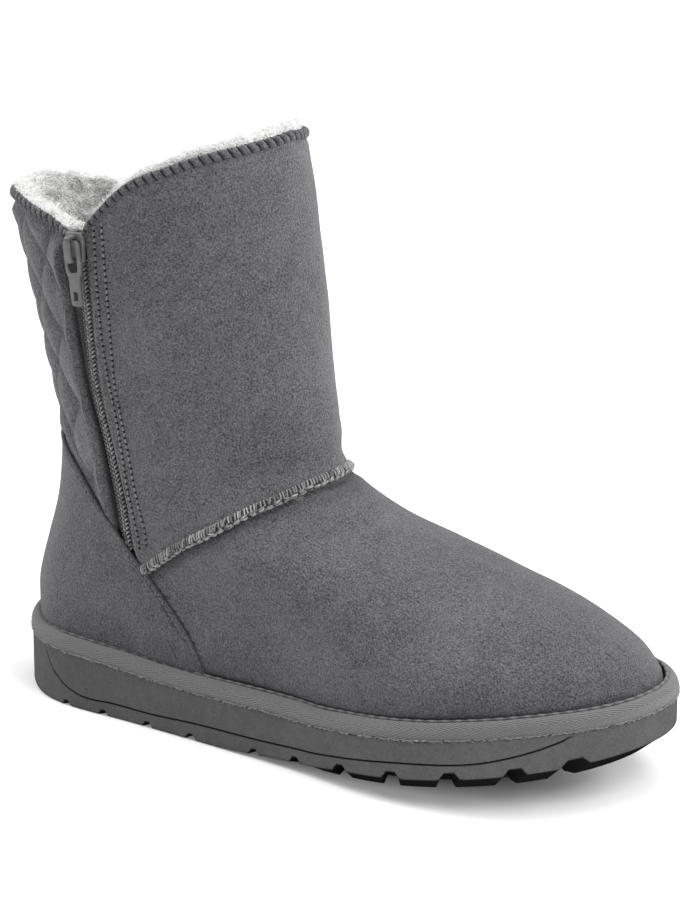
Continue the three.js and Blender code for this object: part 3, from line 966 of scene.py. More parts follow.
WOOL = Yarn("fleece_strands", dark=(0.6, 0.595, 0.585), light=(0.98, 0.975, 0.97), roughness=0.95)
CASTING = CoatedMetal("zip_casting")


def signed_volume(mesh: bpy.types.Mesh) -> float:
    """Volume of a closed mesh: the sum over its triangles of a . (b x c) / 6.

    Args:
        mesh: The mesh.

    Returns:
        The volume, negative where the faces point inwards.
    """
    mesh.calc_loop_triangles()
    points = np.empty(3 * len(mesh.vertices))
    mesh.vertices.foreach_get("co", points)
    corners = np.empty(3 * len(mesh.loop_triangles), np.int32)
    mesh.loop_triangles.foreach_get("vertices", corners)
    a, b, c = points.reshape(-1, 3)[corners.reshape(-1, 3)].transpose(1, 0, 2)
    return float(np.sum(a * np.cross(b, c)) / 6)


def show(
    name: str,
    shape: Skin | bpy.types.Mesh,
    finish: Finish,
    replaced: Sequence[str] = (),
    body: Body = Body.BOOT,
) -> bpy.types.Object:
    """Adds a finished piece to the scene, with its faces turned outwards.

    Args:
        name: Name of the piece.
        shape: Its skin, or its mesh in the part's frame.
        finish: Its finish.
        replaced: CAD nodes it stands for.
        body: Body it rides on.

    Returns:
        The object.
    """
    mesh = shape.mesh(name) if isinstance(shape, Skin) else shape
    if signed_volume(mesh) < 0:
        mesh.flip_normals()
    piece = bpy.data.objects.new(name, mesh)
    bpy.context.scene.collection.objects.link(piece)
    mesh.materials.append(finish.material())
    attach(piece, body.value)
    if replaced:
        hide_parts(*replaced)
    LOG.info("%s: %d faces", name, len(mesh.polygons))
    return piece


# ---- zip line ------------------------------------------------------------------------------
@dataclass(frozen=True)
class ZipLine:
    """Line of the zip on the lateral side, and the channel it lies in.

    The channel's depth is given by distance from the line, and its reach behind the line, which
    is `wall` in front, by height.
    """

    x: Curve = Curve(
        (
            (66, 68), (76, 66.7), (90, 65.4), (102, 62.9), (112, 60.5),
            (125, 56.9), (138, 54.9), (152, 54.6), (175, 54.3), (204, 52.8),
        )
    )  # fmt: skip
    low: float = 71.0
    high: float = 196.0
    top: float = 204.0
    channel: Curve = Curve(
        (
            (0, -3.3), (3.3, -3.3), (3.5, -2.5), (3.7, -1.1), (3.95, -0.2),
            (4.4, 0.4), (5.2, 0.65), (6.6, 0.35), (9.0, 0),
        )
    )  # fmt: skip

    rear: Curve = Curve(
        (
            (66, 5.0), (87, 5.4), (100, 5.0), (112, 4.5), (119, 4.6), (126, 5.2), (135, 5.8),
            (143, 6.2), (154, 6.9), (162, 7.4), (170, 8.0), (178, 8.5), (186, 8.8), (191, 8.0),
            (196, 5.0), (199, 3.7),
        )
    )  # fmt: skip
    wall: float = 3.7

    def wider(self, z: Array) -> Array:
        """How much further the slot reaches behind the zip than in front of it."""
        return self.rear(z) - self.wall

    def gap(self, side: Array, share: Array, z: Array) -> Array:
        """Distance from the zip's line, squeezed behind it so that both walls are equally far.

        Args:
            side: -1 or 1.
            share: Share of the way from back to front.
            z: Height.

        Returns:
            Distances in millimetres, and a large one on the medial side.
        """
        signed = (share - self.share(z)) * self.speed(z)
        behind = np.maximum(-signed, 0.0)
        squeezed = behind - self.wider(z) * np.clip(behind / self.rear(z), 0.0, 1.0)
        return np.where(side < 0, np.where(signed < 0, squeezed, signed), 99.0)

    def share(self, z: Array) -> Array:
        """Share of the zip's line, from the cosine spacing of the sections.

        Args:
            z: Heights.

        Returns:
            Shares of the way from back to front.
        """
        z = np.clip(z, self.low, self.top)
        back, front = LAST.back(z), LAST.front(z)
        return np.arccos(1 - 2 * (self.x(z) - back) / (front - back)) / np.pi

    def speed(self, z: Array) -> Array:
        """Millimetres along the face for one unit of share, from two places beside the zip.

        Args:
            z: Heights.

        Returns:
            Lengths in millimetres.
        """
        z = np.clip(z, self.low, self.top)
        side = np.full(np.shape(z), -1.0)
        share, step = self.share(z), 2e-3
        apart = LAST.face(side, share + step, z) - LAST.face(side, share - step, z)
        return np.linalg.norm(apart, axis=-1) / (2 * step)

    def axes(self, z: Array) -> tuple[Array, Array, Array, Array]:
        """Right-handed axes on the face: origin, across to the front, along upwards, outward.

        Args:
            z: Heights.

        Returns:
            Origin, across, along and outward, each of shape (n, 3).
        """
        side = np.full(np.shape(z), -1.0)

        def point(at: Array) -> Array:
            """Point of the zip's line at a height."""
            return LAST.face(side, self.share(at), at)

        along = unit(point(z + 1) - point(z - 1))
        out = LAST.normal(side, self.share(z), z)
        across = unit(np.cross(along, out))
        return point(z), across, along, unit(np.cross(across, along))

    def place(self, z: Array, across: Array, out: Array, along: Array | float = 0.0) -> Array:
        """Points beside the zip's line: its place plus a distance along each of its axes.

        Args:
            z: Heights, shape (n,).
            across: Distances to the front, of a shape that broadcasts to (n, k).
            out: Distances outwards, likewise.
            along: Distances upwards, likewise.

        Returns:
            Points, shape (n, k, 3).
        """
        origin, *axes = (v[:, None] for v in self.axes(z))
        distances = (across, along, out)
        return origin + sum(np.asarray(d)[..., None] * v for d, v in zip(distances, axes))


ZIP = ZipLine()


# ---- upper ---------------------------------------------------------------------------------
@dataclass(frozen=True)
class Crease:
    """Soft trough on one side: middle (x, z), slope in degrees, length, width and depth."""

    side: int
    middle: tuple[float, float]
    slope: float
    length: float
    width: float
    depth: float

    def height(self, side: Array, points: Array) -> Array:
        """Trough below the face: minus depth times a bell along and a bell across.

        Args:
            side: -1 or 1.
            points: Places on the plain face.

        Returns:
            Heights, 0 or below.
        """
        turn = math.radians(self.slope)
        x, z = points[..., 0] - self.middle[0], points[..., 2] - self.middle[1]
        along = x * math.cos(turn) + z * math.sin(turn)
        across = z * math.cos(turn) - x * math.sin(turn)
        bell = hump(along, self.length) * hump(across, self.width)
        return -self.depth * bell * (side == self.side)


CREASES = (
    Crease(-1, (126, 124), 8, 16, 5.0, 0.7),
    Crease(-1, (108, 103), 20, 18, 4.0, 0.5),
    Crease(-1, (160, 84), -28, 18, 5.0, 0.6),
    Crease(-1, (196, 62), -16, 20, 6.0, 0.5),
    Crease(-1, (241, 54), -30, 10, 5.0, 0.9),
    Crease(-1, (226, 60), 35, 9, 4.0, 0.6),
    Crease(-1, (86, 165), 80, 26, 7.0, 0.6),
    Crease(-1, (104, 190), 84, 24, 6.0, 0.4),
    Crease(1, (126, 122), 6, 16, 5.0, 0.7),
    Crease(1, (150, 88), -30, 20, 5.0, 0.7),
    Crease(1, (80, 150), 85, 26, 7.0, 0.6),
)


@dataclass(frozen=True)
class Cloth:
    """The upper's sewn face: the last's plain face with quilting, seams, creases and ripple."""

    seam: Curve = Curve(
        (
            (70, 60.5), (77.7, 66.5), (95.2, 79.4), (111.5, 89.3), (125.1, 97.8),
            (132.4, 101.4), (139.1, 105.1), (142, 106.2),
        )
    )  # fmt: skip
    panel_edge: Curve = Curve(
        (
            (79.3, 62.5), (95.6, 60), (104.2, 57.8), (116.8, 53.8), (126, 50.6), (137.5, 48.2),
            (151.9, 46.4), (169, 44.6), (179.3, 42.8), (193.7, 41.3), (205, 40.5),
        )
    )  # fmt: skip
    diamond_share: float = 0.0644
    diamond_height: float = 29.3
    diamond_z: float = 185.2
    seam_slope: float = 0.82
    puff: float = 2.5
    pleat_pitch: float = 4.4
    whip_pitch: float = 3.8

    def edge_x(self, side: Array, z: Array) -> Array:
        """x of the quilted panel's front edge, which is the slot's rear wall beside the zip."""
        front = ZIP.x(np.clip(z, 66.0, ZIP.top)) - ZIP.rear(z) - 0.1
        return np.where(side < 0, front, self.panel_edge(z))

    def diamonds(self, side: Array, share: Array, z: Array, x: Array) -> tuple[Array, ...]:
        """Pattern of the quilting: the product of two crossed sine waves, 0 on the sewn lines.

        Args:
            side: -1 or 1.
            share: Share of the way from back to front.
            z: Height.
            x: x of the plain face.

        Returns:
            The product, 1 inside the panel and 0 outside, distance behind the panel's front
            edge, and height above the counter's edge.
        """
        u = -side * share / (2 * self.diamond_share)
        v = (z - self.diamond_z) / self.diamond_height
        waves = np.abs(np.sin(np.pi * (u + v + 0.5)) * np.sin(np.pi * (u - v + 0.5)))
        behind, above = self.edge_x(side, z) - x, z - LAST.counter_edge(x)
        below = LAST.collar(side, share) - z
        inside = smooth_step(behind / 2.4) * smooth_step((above - 1.0) / 4.0)
        return waves, inside * smooth_step((below - 4.0) / 4.0), behind, above

    def quilting(self, side: Array, share: Array, z: Array, points: Array) -> Array:
        """Padded diamonds: height falls to the sewn lines as a power of two crossed sine waves.

        Args:
            side: -1 or 1.
            share: Share of the way from back to front.
            z: Height.
            points: Places on the plain face.

        Returns:
            Height above the plain face.
        """
        waves, inside, behind, above = self.diamonds(side, share, z, points[..., 0])
        edge = 1.1 * smooth_step(behind / 1.4) - 2.1 * smooth_step(behind / 9.0)
        groove = -0.7 * hump(behind + 0.5, 0.7) * (side > 0)
        sewn = -0.45 * hump(behind - 2.2, 0.7)
        return self.puff * waves**0.5 * inside + (edge + groove + sewn) * smooth_step(above / 3.0)

    def seaming(self, points: Array) -> Array:
        """Cloth beside the vamp seam: a bell above it, and two troughs on and below it.

        Args:
            points: Places on the plain face.

        Returns:
            Heights above the plain face.
        """
        over = (points[..., 2] - self.seam(points[..., 0])) * self.seam_slope
        ahead = smooth_step((points[..., 0] - 73.0) / 5.0)
        trough = 1.3 * hump(over + 2.8, 1.7) + 0.6 * hump(over, 1.5)
        return ahead * (0.5 * hump(over - 3.2, 2.6) - trough)

    def tuck(self, side: Array, share: Array, z: Array, points: Array) -> Array:
        """Cloth pulled in along the strip: a trough with a cosine pleat at every stitch.

        Args:
            side: -1 or 1.
            share: Share of the way from back to front.
            z: Height.
            points: Places on the plain face.

        Returns:
            Heights above the plain face.
        """
        rise = z - LAST.feather(side, share)
        along = points[..., 0] + 0.6 * side * points[..., 1]
        pleat = 0.22 * np.cos(2 * np.pi * along / self.pleat_pitch) * hump(rise - 1.6, 2.0)
        return (-0.9 * hump(rise, 2.2) + pleat) * smooth_step((rise + 2.0) / 2.0)

    def ripple(self, points: Array) -> Array:
        """Slow unevenness of the cloth."""
        return 0.35 * soft_noise(points, 52.0, 3) + 0.12 * soft_noise(points, 19.0, 4)

    def height(self, side: Array, share: Array, z: Array, points: Array) -> Array:
        """Whole height of the cloth above the plain face.

        Args:
            side: -1 or 1.
            share: Share of the way from back to front.
            z: Height.
            points: Places on the plain face.

        Returns:
            Height above the plain face, without the zip's channel.
        """
        total = self.quilting(side, share, z, points) + self.seaming(points) + self.ripple(points)
        total = total + self.tuck(side, share, z, points)
        for crease in CREASES:
            total = total + crease.height(side, points)
        rim = LAST.collar(side, share) - z
        total = total - 0.5 * hump(rim - 3.6, 1.1)
        covered = smooth_step((z - LAST.counter_edge(points[..., 0]) + 0.6) / 1.6)
        return covered * total + (1 - covered) * (np.minimum(self.ripple(points), 0.0) - 0.25)

    def shade(self, side: Array, share: Array, z: Array) -> Array:
        """Painted shade of the cloth: 1 deep in seams, gutters and the zip's channel, 0 in the open.

        Args:
            side: -1 or 1.
            share: Share of the way from back to front.
            z: Height.

        Returns:
            Painted shade at each place.
        """
        x = LAST.face(side, share, z)[..., 0]
        waves, inside, behind, above = self.diamonds(side, share, z, x)
        rise = z - LAST.feather(side, share)
        over = (z - self.seam(x)) * self.seam_slope
        zip_away = ZIP.gap(side, share, z)
        # Painted shade: quilting lines, the panel's edge, the counter's edge, troughs beside the vamp seam,
        # along the strip, and the zip's slot.
        parts = (
            0.34 * hump(waves, 0.11) * inside,
            0.75 * hump(behind + 0.5, 0.6) * smooth_step(above / 3),
            0.55 * hump(above - 0.1, 0.75),
            0.8 * hump(over + 2.5, 0.9) * smooth_step((x - 76) / 4),
            0.35 * hump(over + 4.0, 2.5) * smooth_step((x - 76) / 4),
            0.6 * hump(rise, 2.4),
            0.3 * hump(rise, 11.0),
            0.9 * smooth_step((3.9 - zip_away) / 0.4) * smooth_step((z - 69) / 2),
        )
        return np.max(np.stack(np.broadcast_arrays(*parts)), axis=0)

    def channel(self, side: Array, share: Array, z: Array) -> Array:
        """Depth of the zip's channel, by distance from the zip's line."""
        return ZIP.channel(ZIP.gap(side, share, z)) * smooth_step((z - 68.5) / 2.0)

    def surface(self, side: Array, share: Array, z: Array, lift: float = 0.0) -> tuple[Array, Array]:
        """Sewn face: the plain face moved along its normal by the cloth's height.

        Args:
            side: -1 or 1.
            share: Share of the way from back to front.
            z: Height.
            lift: Extra distance outwards.

        Returns:
            Points and the plain face's normals.
        """
        side, share, z = np.broadcast_arrays(side * 1.0, share * 1.0, z * 1.0)
        points = LAST.face(side, share, z)
        normals = LAST.normal(side, share, z)
        raised = self.height(side, share, z, points) + self.channel(side, share, z) + lift
        return points + normals * raised[..., None], normals

    def line(self, side: int, curve: Curve, low: float, high: float, lift: float = 0.0) -> Route:
        """Route up the sewn face.

        Args:
            side: -1 or 1.
            curve: x of the route, by height.
            low: Lowest height.
            high: Highest height.
            lift: Extra distance outwards.

        Returns:
            The route.
        """
        z = np.linspace(low, high, 120)
        share = LAST.share_at(np.full(z.shape, side), curve(z), z)
        return Route(*self.surface(np.full(z.shape, side), share, z, lift))


CLOTH = Cloth()


@dataclass
class UpperShell:
    """Suede shell of the upper: one closed skin whose columns follow the zip."""

    rows: int = 186
    inner_rows: int = 34
    back_columns: int = 62
    front_columns: int = 118
    medial_columns: int = 150
    band: float = 12.0
    beside_zip: tuple[float, ...] = (
        0, 1.4, 2.6, 3.25, 3.4, 3.5, 3.6, 3.72, 3.88, 4.1, 4.45, 5, 5.7, 6.7, 7.9, 9.3, 10.8,
    )  # fmt: skip
    skin: float = 1.5
    scallop: float = 0.45
    inner_row: Curve = Curve(
        ((78.1, 74), (112.5, 68.1), (137.3, 63.9), (169.3, 61.9), (197.3, 61.7), (204, 61.6))
    )
    outer_row: Curve = Curve(
        ((81.4, 77.7), (112, 71.3), (132.9, 67.1), (167.1, 66.4), (195, 65.7), (208, 65.4))
    )
    side: Array = field(init=False)
    parts: tuple[Array, ...] = field(init=False)

    def __post_init__(self) -> None:
        """Lays out the columns: a fine band beside the zip and even columns elsewhere."""
        half = np.array(self.beside_zip)
        offsets = np.concatenate([-half[:0:-1], half])
        back = np.linspace(0, 1, self.back_columns, endpoint=False)
        front = np.linspace(0, 1, self.front_columns + 1)[1:]
        medial = np.linspace(1, 0, self.medial_columns + 2)[1:-1]
        self.parts = (back, offsets, front, medial)
        count = len(back) + len(offsets) + len(front)
        self.side = np.concatenate([-np.ones(count), np.ones(len(medial))])

    def shares(self, z: Array) -> Array:
        """Shares of all columns at their heights.

        Args:
            z: Heights, shape (..., columns).

        Returns:
            Shares, in the same shape.
        """
        back, offsets, front, medial = self.parts
        zip_share, speed, wider = ZIP.share(z), ZIP.speed(z), ZIP.wider(z)
        first = len(back)
        second = first + len(offsets)
        third = second + len(front)
        made = np.empty_like(z)
        made[..., :first] = back * (zip_share - (self.band + wider) / speed)[..., :first]
        near = slice(first, second)
        moved = offsets - wider[..., near] * smooth_step(-offsets / 3.4)
        made[..., near] = zip_share[..., near] + moved / speed[..., near]
        far = slice(second, third)
        start = (zip_share + self.band / speed)[..., far]
        made[..., far] = start + front * (1 - start)
        made[..., third:] = medial
        return made

    def heights(self, share: Array, level: Array) -> Array:
        """Heights of rows: a power of the level, between the feather line and the collar.

        Args:
            share: Shares of the columns.
            level: Levels of the rows, 0 to 1.

        Returns:
            Heights, closer together low on the vamp.
        """
        low = LAST.feather(self.side, share)
        high = LAST.collar(self.side, share)
        power = 1.15 + 0.75 * smooth_step((share - 0.35) / 0.6)
        return low + (high - low) * level**power

    def grid(self, levels: Array) -> tuple[Array, Array]:
        """Shares and heights of a grid of places.

        Args:
            levels: Levels of the rows, 0 at the feather line and 1 at the collar.

        Returns:
            Shares and heights, shape (rows, columns).
        """
        level = levels[:, None]
        share = self.shares(np.full((len(levels), len(self.side)), 130.0))
        for _ in range(4):
            z = self.heights(share, level)
            share = self.shares(z)
        return share, self.heights(share, level)

    def rim_waves(self, rim: Array) -> Array:
        """Scallops of the rim between whip stitches: a cosine of the arc length round it.

        Args:
            rim: Points of the rim.

        Returns:
            Heights.
        """
        along, total = loop_lengths(rim)
        waves = round(total / CLOTH.whip_pitch)
        return self.scallop * np.cos(2 * np.pi * waves * along / total)

    def build(self) -> None:
        """Makes the shell: outer face upwards, over the rim, and down the inside of the skin."""
        share, z = self.grid(np.linspace(0, 1, self.rows))
        outer, normals = CLOTH.surface(self.side, share, z)
        rim = self.rim_waves(outer[-1])
        near = hump(LAST.collar(self.side, share) - z, 2.4)
        outer[..., 2] += near * (rim - self.scallop)[None]
        picked = np.linspace(self.rows - 1, 0, self.inner_rows).round().astype(int)
        inner = outer[picked] - normals[picked] * self.skin
        over = (outer[-1] + inner[0]) / 2 + np.array([0, 0, 0.35])
        foot_x, foot_y = LAST.plan(self.side, share[0], LAST.inset)
        foot = np.stack([foot_x, foot_y, LAST.sole_top(foot_x) + 0.4], -1)
        foot_in = foot - normals[0] * np.array([self.skin, self.skin, 0])
        rows = [foot[None], outer, over[None], inner, foot_in[None]]
        # Painted shade of the outer cloth; none on the inside of the skin.
        dark = CLOTH.shade(self.side, share, z)
        marks = np.concatenate([dark[:1], dark, dark[-1:], dark[picked] * 0, dark[:1]])
        skin = skin_of(np.concatenate(rows))
        skin.marks = {"shade": marks.ravel()}
        show("upper_shell", skin, SUEDE, ["upper"])

    def sew(self) -> None:
        """Sews the rows beside the zip and the row along the quilted panel's medial edge."""
        medial = Curve(tuple((z, float(CLOTH.edge_x(1, z)) - 2.0) for z in range(80, 200, 8)))
        routes = [
            CLOTH.line(-1, self.inner_row, 74, 203),
            CLOTH.line(-1, self.outer_row, 76, 206.5),
            CLOTH.line(1, medial, 84, 194),
        ]
        sewing = Sewing()
        threads = sewing.threads(routes[0])
        holes = sewing.holes(routes[0])
        for route in routes[1:]:
            threads = threads.joined(sewing.threads(route))
            holes = holes.joined(sewing.holes(route))
        show("zip_side_stitches", threads, SIDE_THREAD)
        show("zip_side_needle_holes", holes, HOLE_SHADE)

    def quilt_stitches(self) -> None:
        """Sews the quilting: short stitches along both families of diamond lines."""
        pitch, step = 3.0, CLOTH.diamond_share
        z = np.arange(100.0, 202.0, pitch)
        lines = np.arange(-14, 15)
        skins: Skin | None = None
        for slope in (-1.0, 1.0):
            level, which = np.meshgrid(z, lines, indexing="ij")
            v = (level - CLOTH.diamond_z) / CLOTH.diamond_height
            signed = 2 * step * (which + 0.5 - slope * v)
            side = np.where(signed > 0, -1.0, 1.0)
            share = np.abs(signed)
            valid = share < 0.42
            side, share, level = (a[valid] for a in (side, share, level))
            plain = LAST.face(side, share, level)
            behind = CLOTH.edge_x(side, level) - plain[:, 0]
            above = level - LAST.counter_edge(plain[:, 0])
            below = LAST.collar(side, share) - level
            keep = (behind > 2.5) & (above > 4) & (below > 5)
            side, share, level = side[keep], share[keep], level[keep]
            here, out = CLOTH.surface(side, share, level)
            ahead = share - side * -slope * 2 * step / CLOTH.diamond_height * 0.5
            there = CLOTH.surface(side, np.clip(ahead, 0, 1), level + 0.5)[0]
            along = unit(there - here)[:, None]
            u = np.linspace(-1, 1, 5)[None, :, None]
            paths = here[:, None] + along * u * 0.95 + out[:, None] * (0.1 + 0.2 * (1 - u**2))
            row = tubes(paths, 0.2 * (1 - 0.4 * u[..., 0] ** 2), 5, np.full(len(paths), 0.3))
            skins = row if skins is None else skins.joined(row)
        show("quilting_stitches", skins, SUEDE_THREAD)


@dataclass
class CollarEdge:
    """Rolled rim of the collar, tied into short slanted lobes by whip stitches."""

    shell: UpperShell
    columns: int = 1500
    lean: float = 0.62
    radius: float = 0.34
    profile: Rows = (
        (0.0, -3.7), (0.45, -3.3), (0.85, -2.6), (1.0, -1.8), (0.9, -0.9), (0.45, -0.1), (-0.3, 0.35),
        (-1.1, 0.2), (-1.7, -0.5), (-1.9, -1.6), (-1.0, -2.4), (-0.8, -4.4),
    )  # fmt: skip

    def route(self) -> Route:
        """Line of the rim.

        Returns:
            The route, whose last point is its first, with level normals.
        """
        share, z = self.shell.grid(np.array([1.0]))
        rim, normals = CLOTH.surface(self.shell.side, share, z)
        flat = unit(normals[0] * np.array([1, 1, 0]))
        return Route(np.concatenate([rim[0], rim[0, :1]]), np.concatenate([flat, flat[:1]]))

    def build(self) -> None:
        """Makes the lobes: a profile along the rim that sinks to a groove once in a pitch."""
        route = self.route()
        total = route.lengths()[-1]
        waves = round(total / CLOTH.whip_pitch)
        places = np.arange(self.columns) * total / self.columns
        middle, _, out = route.at(places)
        away, rise = np.array(self.profile).T[:, :, None]
        turn = np.pi * (places[None] - self.lean * -rise) * waves / total
        swell = np.abs(np.sin(turn)) ** 0.5
        outside = smooth_step((away + 1.2) / 1.4)
        push = (1.25 * swell - 0.95) * outside * smooth_step((3.7 + rise) / 0.7)
        lift = (0.9 * swell - 0.75) * smooth_step((rise + 2.0) / 2.0)
        grid = middle[None] + out[None] * (away + push)[..., None]
        skin = skin_of(grid + UP * (rise + lift)[..., None])
        # Painted shade in the grooves between the lobes and along the rim's lower edge.
        groove = 0.97 * hump(np.abs(np.sin(turn)), 0.36) * outside
        skin.marks = {"shade": np.maximum(groove, 0.5 * hump(rise + 3.5, 0.4)).ravel()}
        show("collar_rim", skin, SUEDE)
        self.whip(route, total, waves)

    def whip(self, route: Route, total: float, waves: int) -> None:
        """Lays one slanted thread in each groove, from inside the rim to below it.

        Args:
            route: Line of the rim.
            total: Its length.
            waves: Number of grooves.
        """
        away, rise = np.array(self.profile)[8:0:-1].T
        middle, along, out = (v[:, None] for v in route.at(np.arange(waves) * total / waves))
        shift = -self.lean * rise
        paths = middle + out * (away - 0.5)[:, None] + along * shift[:, None]
        paths = paths + UP * (rise - 0.25 * smooth_step(rise + 1))[:, None]
        threads = tubes(paths, self.radius, 5, np.full(waves, 0.05))
        show("collar_whip_stitches", threads, WHIP_THREAD)


# ---- fleece --------------------------------------------------------------------------------
@dataclass
class FleeceLining:
    """Deep pile inside the boot: a lumpy body that rolls over the rim, and loose strands."""

    columns: int = 300
    hidden_rows: int = 44
    wall_rows: int = 92
    lump: float = 2.0
    strands: int = 19000
    roll: Rows = (
        (-2.0, 0.0), (0.2, 0.1), (1.6, 0.5), (2.9, 1.3), (3.6, 2.5), (3.7, 3.8), (3.0, 5.1),
        (1.6, 6.1), (-0.4, 6.8),
    )  # fmt: skip

    def place(self, side: Array, share: Array, z: Array, depth: Array) -> Array:
        """Points at a depth inside the plain face, carried straight up above the collar.

        Args:
            side: -1 or 1.
            share: Share of the way from back to front.
            z: Height.
            depth: Distance inside the face.

        Returns:
            Points, shape (..., 3).
        """
        collar = LAST.collar(side, share)
        level = np.minimum(z, collar)
        moved = LAST.face(side, share, level) - LAST.normal(side, share, level) * depth[..., None]
        moved[..., 2] += np.maximum(z - collar, 0.0)
        return moved

    def body(self) -> tuple[Array, Array]:
        """Grid of the lining's body: up its hidden back, over the roll, down its inside.

        Returns:
            Points of the closed grid, and how loose the pile is at each row.
        """
        side, share = both_sides(self.columns // 2)
        collar = LAST.collar(side, share)
        low = LAST.feather(side, share) - 3.0
        hidden = []
        for f in np.linspace(0, 1, self.hidden_rows):
            z = low + (collar - 6 - low) * f
            hidden.append(self.place(side, share, z, self.setback(side, share, z) + 0.4))
        behind = self.setback(side, share, collar)
        proud = 0.3 + 0.45 * smooth_step((share - 0.5) / 0.2)
        rolled = [
            self.place(side, share, collar + rise * np.where(rise > 0, proud, 1.0), behind + depth)
            for rise, depth in self.roll
        ]
        levels = np.linspace(0, 1, self.wall_rows)[:, None] ** 1.25
        z = collar - 2.4 - (collar - 2.4 - low) * levels
        inside = self.place(side[None] + 0 * z, share[None] + 0 * z, z, LAST.wall(z) + 0.6)
        grid = np.concatenate([np.stack(hidden), np.stack(rolled), inside])
        over = np.linspace(0.15, 1, len(rolled))
        return grid, np.concatenate([np.zeros(len(hidden)), over, np.ones(self.wall_rows)])

    def setback(self, side: Array, share: Array, z: Array) -> Array:
        """Depth of the lining's back under the plain face, greater behind the zip's slot."""
        return 1.9 + 3.4 * (1 - smooth_step((ZIP.gap(side, share, z) - 5.0) / 3.0)) * (z > 60.0)

    def outward(self, grid: Array) -> Array:
        """Normals of a closed grid: the cross product of its differences.

        Args:
            grid: Points, shape (rows, columns, 3).

        Returns:
            Unit vectors, in the same shape.
        """
        around = np.roll(grid, -1, 1) - np.roll(grid, 1, 1)
        up = np.gradient(grid, axis=0)
        return unit(np.cross(around, up))

    def build(self) -> None:
        """Makes the lumpy body and scatters strands over its upper part."""
        grid, loose = self.body()
        normals = self.outward(grid)
        lumps = np.abs(soft_noise(grid, 15.0, 11)) * 1.1 + np.abs(soft_noise(grid, 6.0, 12)) * 0.55
        fine = np.abs(soft_noise(grid, 2.8, 13)) * 0.25
        grid = grid + normals * ((lumps + fine - 0.5) * self.lump * 0.7 * loose[:, None])[..., None]
        skin = skin_of(grid)
        # Painted shade: the pile darkens down the inside of the boot.
        deep = self.depth_shade(np.arange(len(grid)))
        skin.marks = {"shade": np.repeat(deep, self.columns)}
        show("fleece_lining", skin, FLEECE)
        self.scatter(grid, normals)

    def depth_shade(self, rows: Array) -> Array:
        """Painted shade of the pile by row: none on the roll, more down the inside."""
        return 0.5 * smooth_step((rows - self.hidden_rows - 7) / 26.0)

    def scatter(self, grid: Array, normals: Array) -> None:
        """Strands: curled tapering fibres that lean with their clump.

        Args:
            grid: The body's points.
            normals: Their normals.
        """
        rng = np.random.default_rng(7)
        first, last = self.hidden_rows + 2, self.hidden_rows + 56
        rows = first + (last - first) * rng.beta(1.0, 1.7, self.strands)
        columns = rng.uniform(0, self.columns, self.strands)
        r, c = rows.astype(int), columns.astype(int) % self.columns
        roots = grid[r, c] + rng.normal(0, 0.35, (self.strands, 3))
        out = normals[r, c]
        clump = np.stack([soft_noise(roots, 7.0, 20 + k) for k in range(3)], -1)
        lean = unit(out * 0.9 + clump * 1.1 + rng.normal(0, 0.3, out.shape) + np.array([0, 0, 0.1]))
        curl = unit(rng.normal(size=out.shape))
        length = rng.uniform(1.0, 2.4, self.strands)[:, None, None]
        u = np.linspace(0, 1, 4)[None, :, None]
        swirl = curl[:, None] * np.sin(2.6 * u + rng.uniform(0, 6, (self.strands, 1, 1))) * 0.22
        paths = roots[:, None] + length * (lean[:, None] * u + swirl * u)
        radii = 0.095 * (1 - 0.5 * u[..., 0])
        tone = 0.55 + 0.35 * soft_noise(roots, 9.0, 31) + rng.normal(0, 0.12, self.strands)
        # Painted shade: strands deep inside the boot are darker.
        tone = np.clip(tone, 0, 1) - 1.5 * self.depth_shade(rows)
        for number, part in enumerate(np.array_split(np.arange(self.strands), 2)):
            name = f"fleece_strands_{number + 1}"
            show(name, tubes(paths[part], radii, 3, tone[part]), WOOL)

    def footbed(self) -> None:
        """Pile-covered insole: a soft-edged pad with a lumpy top."""
        side, share = both_sides(90)
        inset = LAST.inset + 4.6 + 1.0
        rows = []
        for extra, rise in ((0, 0.3), (0, 2.6), (0.6, 3.8), (2.0, 4.7)):
            x, y = LAST.plan(side, share, inset + extra)
            rows.append(np.stack([x, y, LAST.sole_top(x) + rise], -1))
        top = rows[-1]
        centre = np.stack([top[:, 0], 0 * top[:, 1] + LAST.swing(top[:, 0]), top[:, 2]], -1)
        for f in np.linspace(0.12, 0.97, 16):
            row = top + (centre - top) * f
            row[:, 2] += 0.5 * np.sin(f * np.pi / 2) + 0.5 * np.abs(soft_noise(row, 6.0, 41))
            rows.append(row)
        skin = skin_of(np.stack(rows), wrap_rows=False)
        show("fleece_insole", skin, FLEECE, ["insole"])


